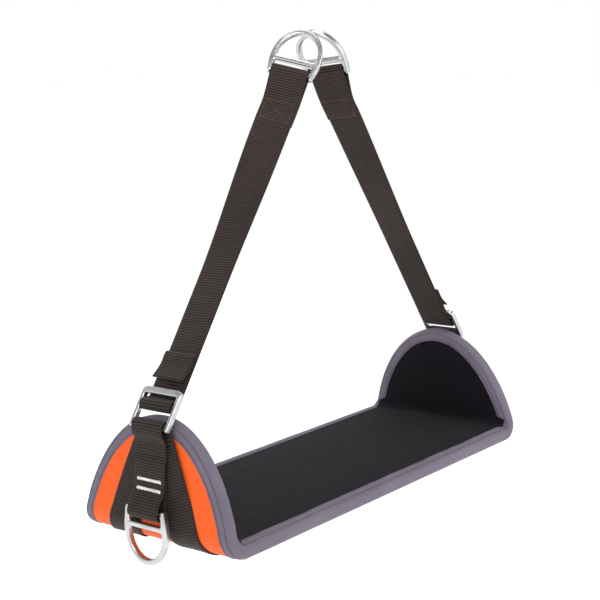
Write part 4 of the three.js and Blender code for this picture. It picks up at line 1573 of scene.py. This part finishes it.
@dataclass
class HangingEnd:
    """One hanging strap with its adjuster, its tail and its rings.

    Its local frame has its origin on the adjuster's lower bar: X outwards, Y along the
    bars and Z up the strap.
    """

    paints: Paints
    side: Side
    twist: float
    reach: float = 0.440
    twist_start: float = 0.175
    twist_end: float = 0.395
    travel_start: float = 0.058
    eye: float = 0.062
    eye_split: float = 0.034
    tail_start: float = 0.050
    tail_fold: float = 0.087
    tail_flap: float = 0.034

    def __post_init__(self) -> None:
        """Takes the local frame from the record's joints."""
        name = self.side.label
        self.origin = np.array(joint(f"{name}_strap_swing")["pos_m"], float)
        self.up = unit(-np.array(joint(f"{name}_strap_adjust")["axis"], float))
        self.across = np.array([0.0, float(self.side.value), 0.0])
        self.out = np.cross(self.across, self.up)
        self.tail_x = -ADJUSTER_PLATE / 2 - GAP - WEBBING / 2
        self.run_x = self.tail_x - PLY - GAP

    def place(self, points: Array) -> Array:
        """Row-frame positions of local points."""
        return self.origin + points @ np.stack([self.out, self.across, self.up])

    def turn(self, vectors: Array) -> Array:
        """Row-frame directions of local vectors."""
        return vectors @ np.stack([self.out, self.across, self.up])

    def twisted(self, vectors: Array, height: Array) -> Array:
        """Local vectors turned about the strap's axis, by a smoothstep of their heights."""
        angle = self.twist * smooth(self.twist_start, self.twist_end, height)
        c, s = np.cos(angle), np.sin(angle)
        x, y = vectors[:, 0] * c - vectors[:, 1] * s, vectors[:, 0] * s + vectors[:, 1] * c
        return np.stack([x, y, vectors[:, 2]], axis=1)

    def ribbon(self, points: Sequence[tuple[float, float]], spacing: float = 0.0014) -> Ribbon:
        """Webbing along a path of local (x, z) points, with the strap's twist."""
        path = spline(points, spacing)
        flat = np.stack([path[:, 0], np.zeros(len(path)), path[:, 1]], axis=1)
        run = unit(np.gradient(flat, axis=0))
        face = np.stack([run[:, 2], np.zeros(len(path)), -run[:, 0]], axis=1)
        wide = np.broadcast_to([0.0, 1.0, 0.0], flat.shape)
        height = path[:, 1]
        parts = (self.twisted(v, height) for v in (flat, wide, face))
        middle, wide, face = parts
        return Ribbon(self.place(middle), self.turn(wide), self.turn(face))

    def arc(
        self, centre: tuple[float, float], radius: float, first: float, last: float, count: int
    ) -> list:
        """Local points round a bar, between two angles in degrees."""
        turn = np.radians(np.linspace(first, last, count))
        return list(zip(centre[0] + radius * np.cos(turn), centre[1] + radius * np.sin(turn)))

    def strap(self) -> Ribbon:
        """The strap in one length: eye, run, turn round the middle bar, out of the slot."""
        radius = wrap_radius(RING_PLATE)
        wrap = wrap_radius(ADJUSTER_PLATE)
        eye, join = self.reach - self.eye, self.reach - self.eye_split
        middle = AdjusterShape().middle_bar
        slot = middle + BAR / 2
        run = self.run_x
        return self.ribbon(
            [
                (run - PLY, eye), (run - PLY, join), (-radius - GAP, self.reach - BAR),
                *self.arc((0.0, self.reach), radius, 180, 0, 9),
                (radius - 0.002, self.reach - BAR), (run, join), (run, eye + 0.006),
                *[(run, z) for z in np.linspace(eye - 0.02, 0.075, 9)],
                (run, self.travel_start), (run, (self.travel_start + middle) / 2),
                *self.arc((0.0, middle), wrap, 180, 400, 13),
                (0.0, slot + 0.0036), (self.tail_x, slot + 0.0072),
                (self.tail_x, slot + 0.011), (self.tail_x, self.tail_start - GAP),
            ]
        )

    def tail_run(self) -> Ribbon:
        """The tail's inner length, from behind the top bar to its folded end."""
        start, end = self.tail_start - GAP / 2, self.tail_fold - 0.004
        return self.ribbon([(self.tail_x, z) for z in np.linspace(start, end, 6)])

    def tail_stop(self) -> Ribbon:
        """The tail's folded and sewn end, whose lip stands a little off the strap."""
        out, top = self.tail_x + PLY, self.tail_fold - WEBBING
        return self.ribbon(
            [
                (self.tail_x, top - 0.002), (self.tail_x + PLY / 2, top + 0.0006), (out, top - 0.002),
                (out, top - 0.012), (out + 0.0012, self.tail_fold - self.tail_flap / 2 - 0.005),
                (out + 0.005, self.tail_fold - self.tail_flap),
            ],
            0.0008,
        )

    def facing(self, points: Array, height: float, twist: float) -> Array:
        """A plate's points set up in the strap's local frame: width to Y, up to Z, face to X."""
        local = np.stack([points[:, 2], points[:, 0], points[:, 1]], axis=1)
        c, s = math.cos(twist), math.sin(twist)
        x, y = local[:, 0] * c - local[:, 1] * s, local[:, 0] * s + local[:, 1] * c
        return self.place(np.stack([x, y, local[:, 2] + height], axis=1))

    def side_ring(self, points: Array) -> Array:
        """A plate's points hung from the tab's bar on the wing."""
        pos = joint(f"{self.side.label}_side_ring_swing")["pos_m"]
        sign = float(self.side.value)
        local = np.stack([-points[:, 2] * sign, points[:, 0] * sign, -points[:, 1]], axis=1)
        return np.array(pos, float) + local

    def build_metal(self) -> None:
        """Builds the adjuster and both rings."""
        name = self.side.label
        ring = RingShape().plate()
        for label, plate, place in (
            ("adjuster", AdjusterShape().plate(), lambda p: self.facing(p, 0.0, 0.0)),
            ("top_ring", ring, lambda p: self.facing(p, self.reach, self.twist)),
            ("side_ring", ring, self.side_ring),
        ):
            piece = plate_piece(f"{name}_{label}_alloy", plate, place)
            self.paints.paint(piece, "metal")
            settle(piece, f"{name}_{label}", [f"{name}_{label}"])

    def build_webbing(self) -> None:
        """Builds the strap and its tail, both left in place on no body, then the tail's stop and the seams.
        """
        name = self.side.label
        strap = self.strap()
        piece = self.paints.paint(strap.build(f"{name}_strap_webbing"), "webbing")
        ends = [tuple(self.place(np.array([[0.0, 0.0, z]]))[0]) for z in (0.052, 0.225)]
        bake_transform(piece)
        nodes = [f"{name}_{n}" for n in ("strap_upper", "strap_lower", "strap_wrap")]
        settle(piece, None, nodes)
        piece = self.paints.paint(self.tail_run().build(f"{name}_tail_run_webbing"), "webbing")
        ends = [tuple(self.place(np.array([[0.0, 0.0, z]]))[0]) for z in (0.050, 0.083)]
        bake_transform(piece)
        settle(piece, None, [f"{name}_strap_tail"])
        stop = self.tail_stop()
        piece = self.paints.paint(stop.build(f"{name}_tail_stop_webbing"), "webbing")
        settle(piece, f"{name}_tail")
        length = run_length(stop.middle)
        rows = [self.row(stop, float(s)) for s in (0.010, 0.016)]
        piece = stitch_mesh(f"{name}_tail_seams", *(np.vstack(p) for p in zip(*rows)), 0.0022, 0.0003)
        settle(self.paints.paint(piece, "dark_thread"), f"{name}_tail")
        log.debug("tail stop %.1f mm long", length[-1] * 1000)
        self.build_eye_seams(strap)

    @staticmethod
    def row(ribbon: Ribbon, along: float, lift: float = WEBBING / 2) -> tuple[Array, Array, Array]:
        """A row of stitches straight across a ribbon's face."""
        across = np.arange(-0.0195, 0.0196, 0.003)
        place, _, wide, face = ribbon.at(np.full(len(across), along), across, lift + 0.00005)
        return place, wide, face

    def build_eye_seams(self, strap: Ribbon) -> None:
        """A sewn box with a cross on each face of the doubled webbing below the ring."""
        low, high = self.reach - self.eye + 0.003, self.reach - self.eye_split - 0.001
        half, pitch = 0.0175, 0.0031
        corners = [(-half, low), (half, low), (half, high), (-half, high), (-half, low), (half, high)]
        lines = [(corners[i], corners[i + 1]) for i in range(5)] + [((half, low), (-half, high))]
        dots, ways = [], []
        for a, b in lines:
            a, b = np.array(a), np.array(b)
            count = max(int(np.linalg.norm(b - a) / pitch), 2)
            t = (np.arange(count) + 0.5) / count
            dots.append(a + (b - a) * t[:, None])
            ways.append(np.broadcast_to(unit(b - a), (count, 2)))
        dots, ways = np.vstack(dots), np.vstack(ways)
        places, runs, normals = [], [], []
        for x, sign in ((self.run_x - PLY - WEBBING / 2, -1.0), (self.run_x + WEBBING / 2, 1.0)):
            flat = np.stack([np.full(len(dots), x), dots[:, 0], dots[:, 1]], axis=1)
            run = np.stack([np.zeros(len(dots)), ways[:, 0], ways[:, 1]], axis=1)
            face = np.broadcast_to([sign, 0.0, 0.0], flat.shape)
            places.append(self.place(self.twisted(flat, dots[:, 1])))
            runs.append(self.turn(self.twisted(run, dots[:, 1])))
            normals.append(self.turn(self.twisted(face, dots[:, 1])))
        piece = stitch_mesh(
            f"{self.side.label}_eye_seams",
            np.vstack(places), np.vstack(runs), np.vstack(normals), 0.0024, 0.00032,
        )
        settle(self.paints.paint(piece, "rust"), f"{self.side.label}_strap")

    def build(self) -> None:
        """Builds everything on this end that hangs or swings."""
        self.build_metal()
        self.build_webbing()


# --------------------------------------------------------------------------
# Studio
# --------------------------------------------------------------------------


@dataclass(frozen=True)
class Studio:
    """The camera, the pale floor and soft light."""

    focal_px: float = 1374.92
    frame_px: float = 600.0
    sensor_mm: float = 36.0
    position: tuple[float, float, float] = (-1.28700, -1.00533, -0.02180)
    azimuth: float = -0.8964
    pitch: float = 0.1764
    roll: float = -0.0273
    floor_drop: float = 0.22
    zenith: float = 0.3

    def build(self, paints: Paints) -> None:
        """Makes the camera first, then the floor, the lamps and the sky."""
        self.camera()
        self.floor(paints)
        self.lights()

    def camera(self) -> None:
        """The camera from its azimuth, pitch and roll: forward, right and up as columns."""
        a, p = self.azimuth, self.pitch
        forward = np.array([-math.sin(a) * math.cos(p), math.cos(a) * math.cos(p), -math.sin(p)])
        right0 = np.array([math.cos(a), math.sin(a), 0.0])
        up0 = np.cross(right0, forward)
        c, s = math.cos(self.roll), math.sin(self.roll)
        right, up = c * right0 + s * up0, -s * right0 + c * up0
        data = bpy.data.cameras.new("camera")
        data.sensor_width = self.sensor_mm
        data.lens = self.focal_px / self.frame_px * self.sensor_mm
        data.clip_start, data.clip_end = 0.05, 60.0
        camera = bpy.data.objects.new("camera", data)
        rotation = Matrix(np.stack([right, up, -forward], axis=1).tolist())
        camera.matrix_world = Matrix.Translation(Vector(self.position)) @ rotation.to_4x4()
        bpy.context.scene.collection.objects.link(camera)
        bpy.context.scene.camera = camera

    def floor(self, paints: Paints) -> None:
        """A wide plain floor below the lowest ring."""
        z = CAD_BOX[0][2] - self.floor_drop
        reach = 30.0
        points = np.array([[-reach, -reach, z], [reach, -reach, z], [reach, reach, z], [-reach, reach, z]])
        floor = mesh_object("floor", points, np.array([[0, 1, 2, 3]]))
        paints.paint(floor, "floor")

    def lights(self) -> None:
        """Large soft lamps round the seat and a white sky."""
        centre = Vector((0.0, 0.0, -0.3))
        for name, place, size, power in (
            ("key", (-1.5, -1.2, 0.9), 1.2, 17.0),
            ("fill", (1.3, -1.7, 0.5), 1.4, 9.0),
            ("top", (0.1, 0.2, 1.6), 1.2, 12.0),
            ("rim", (0.2, 1.9, 0.7), 1.2, 9.0),
        ):
            data = bpy.data.lights.new(name, "AREA")
            data.shape, data.size, data.energy = "DISK", size, power
            lamp = bpy.data.objects.new(name, data)
            lamp.location = place
            lamp.rotation_euler = (centre - Vector(place)).to_track_quat("-Z", "Y").to_euler()
            bpy.context.scene.collection.objects.link(lamp)
        world = bpy.data.worlds.new("sky")
        world.use_nodes = True
        graph = Graph(world.node_tree)
        split = graph.node("ShaderNodeSeparateXYZ")
        graph.feed(split.inputs[0], graph.node("ShaderNodeTexCoord").outputs["Generated"])
        height = graph.math("ABSOLUTE", split.outputs["Z"])
        shade = graph.remap(height, 0.28, 0.75, (1.0, self.zenith))
        sky = world.node_tree.nodes["Background"]
        graph.feed(sky.inputs["Color"], graph.mix(shade, rgba((0, 0, 0)), rgba((1, 1, 1))))
        bpy.context.scene.world = world
        bpy.context.scene.view_settings.view_transform = "Standard"


def main() -> None:
    """Builds the studio and every piece of the seat, in order."""
    logging.basicConfig(level=logging.INFO, format="%(name)s %(message)s")
    paints = Paints()
    Studio().build(paints)
    PaddedSeat(paints).build()
    EdgeBinding(paints).build()
    Slings(paints).build()
    for side, twist in ((Side.LEFT, 25.0), (Side.RIGHT, 10.0)):
        WingFittings(paints, side).build()
        HangingEnd(paints, side, math.radians(twist)).build()


if __name__ == "__main__":
    main()
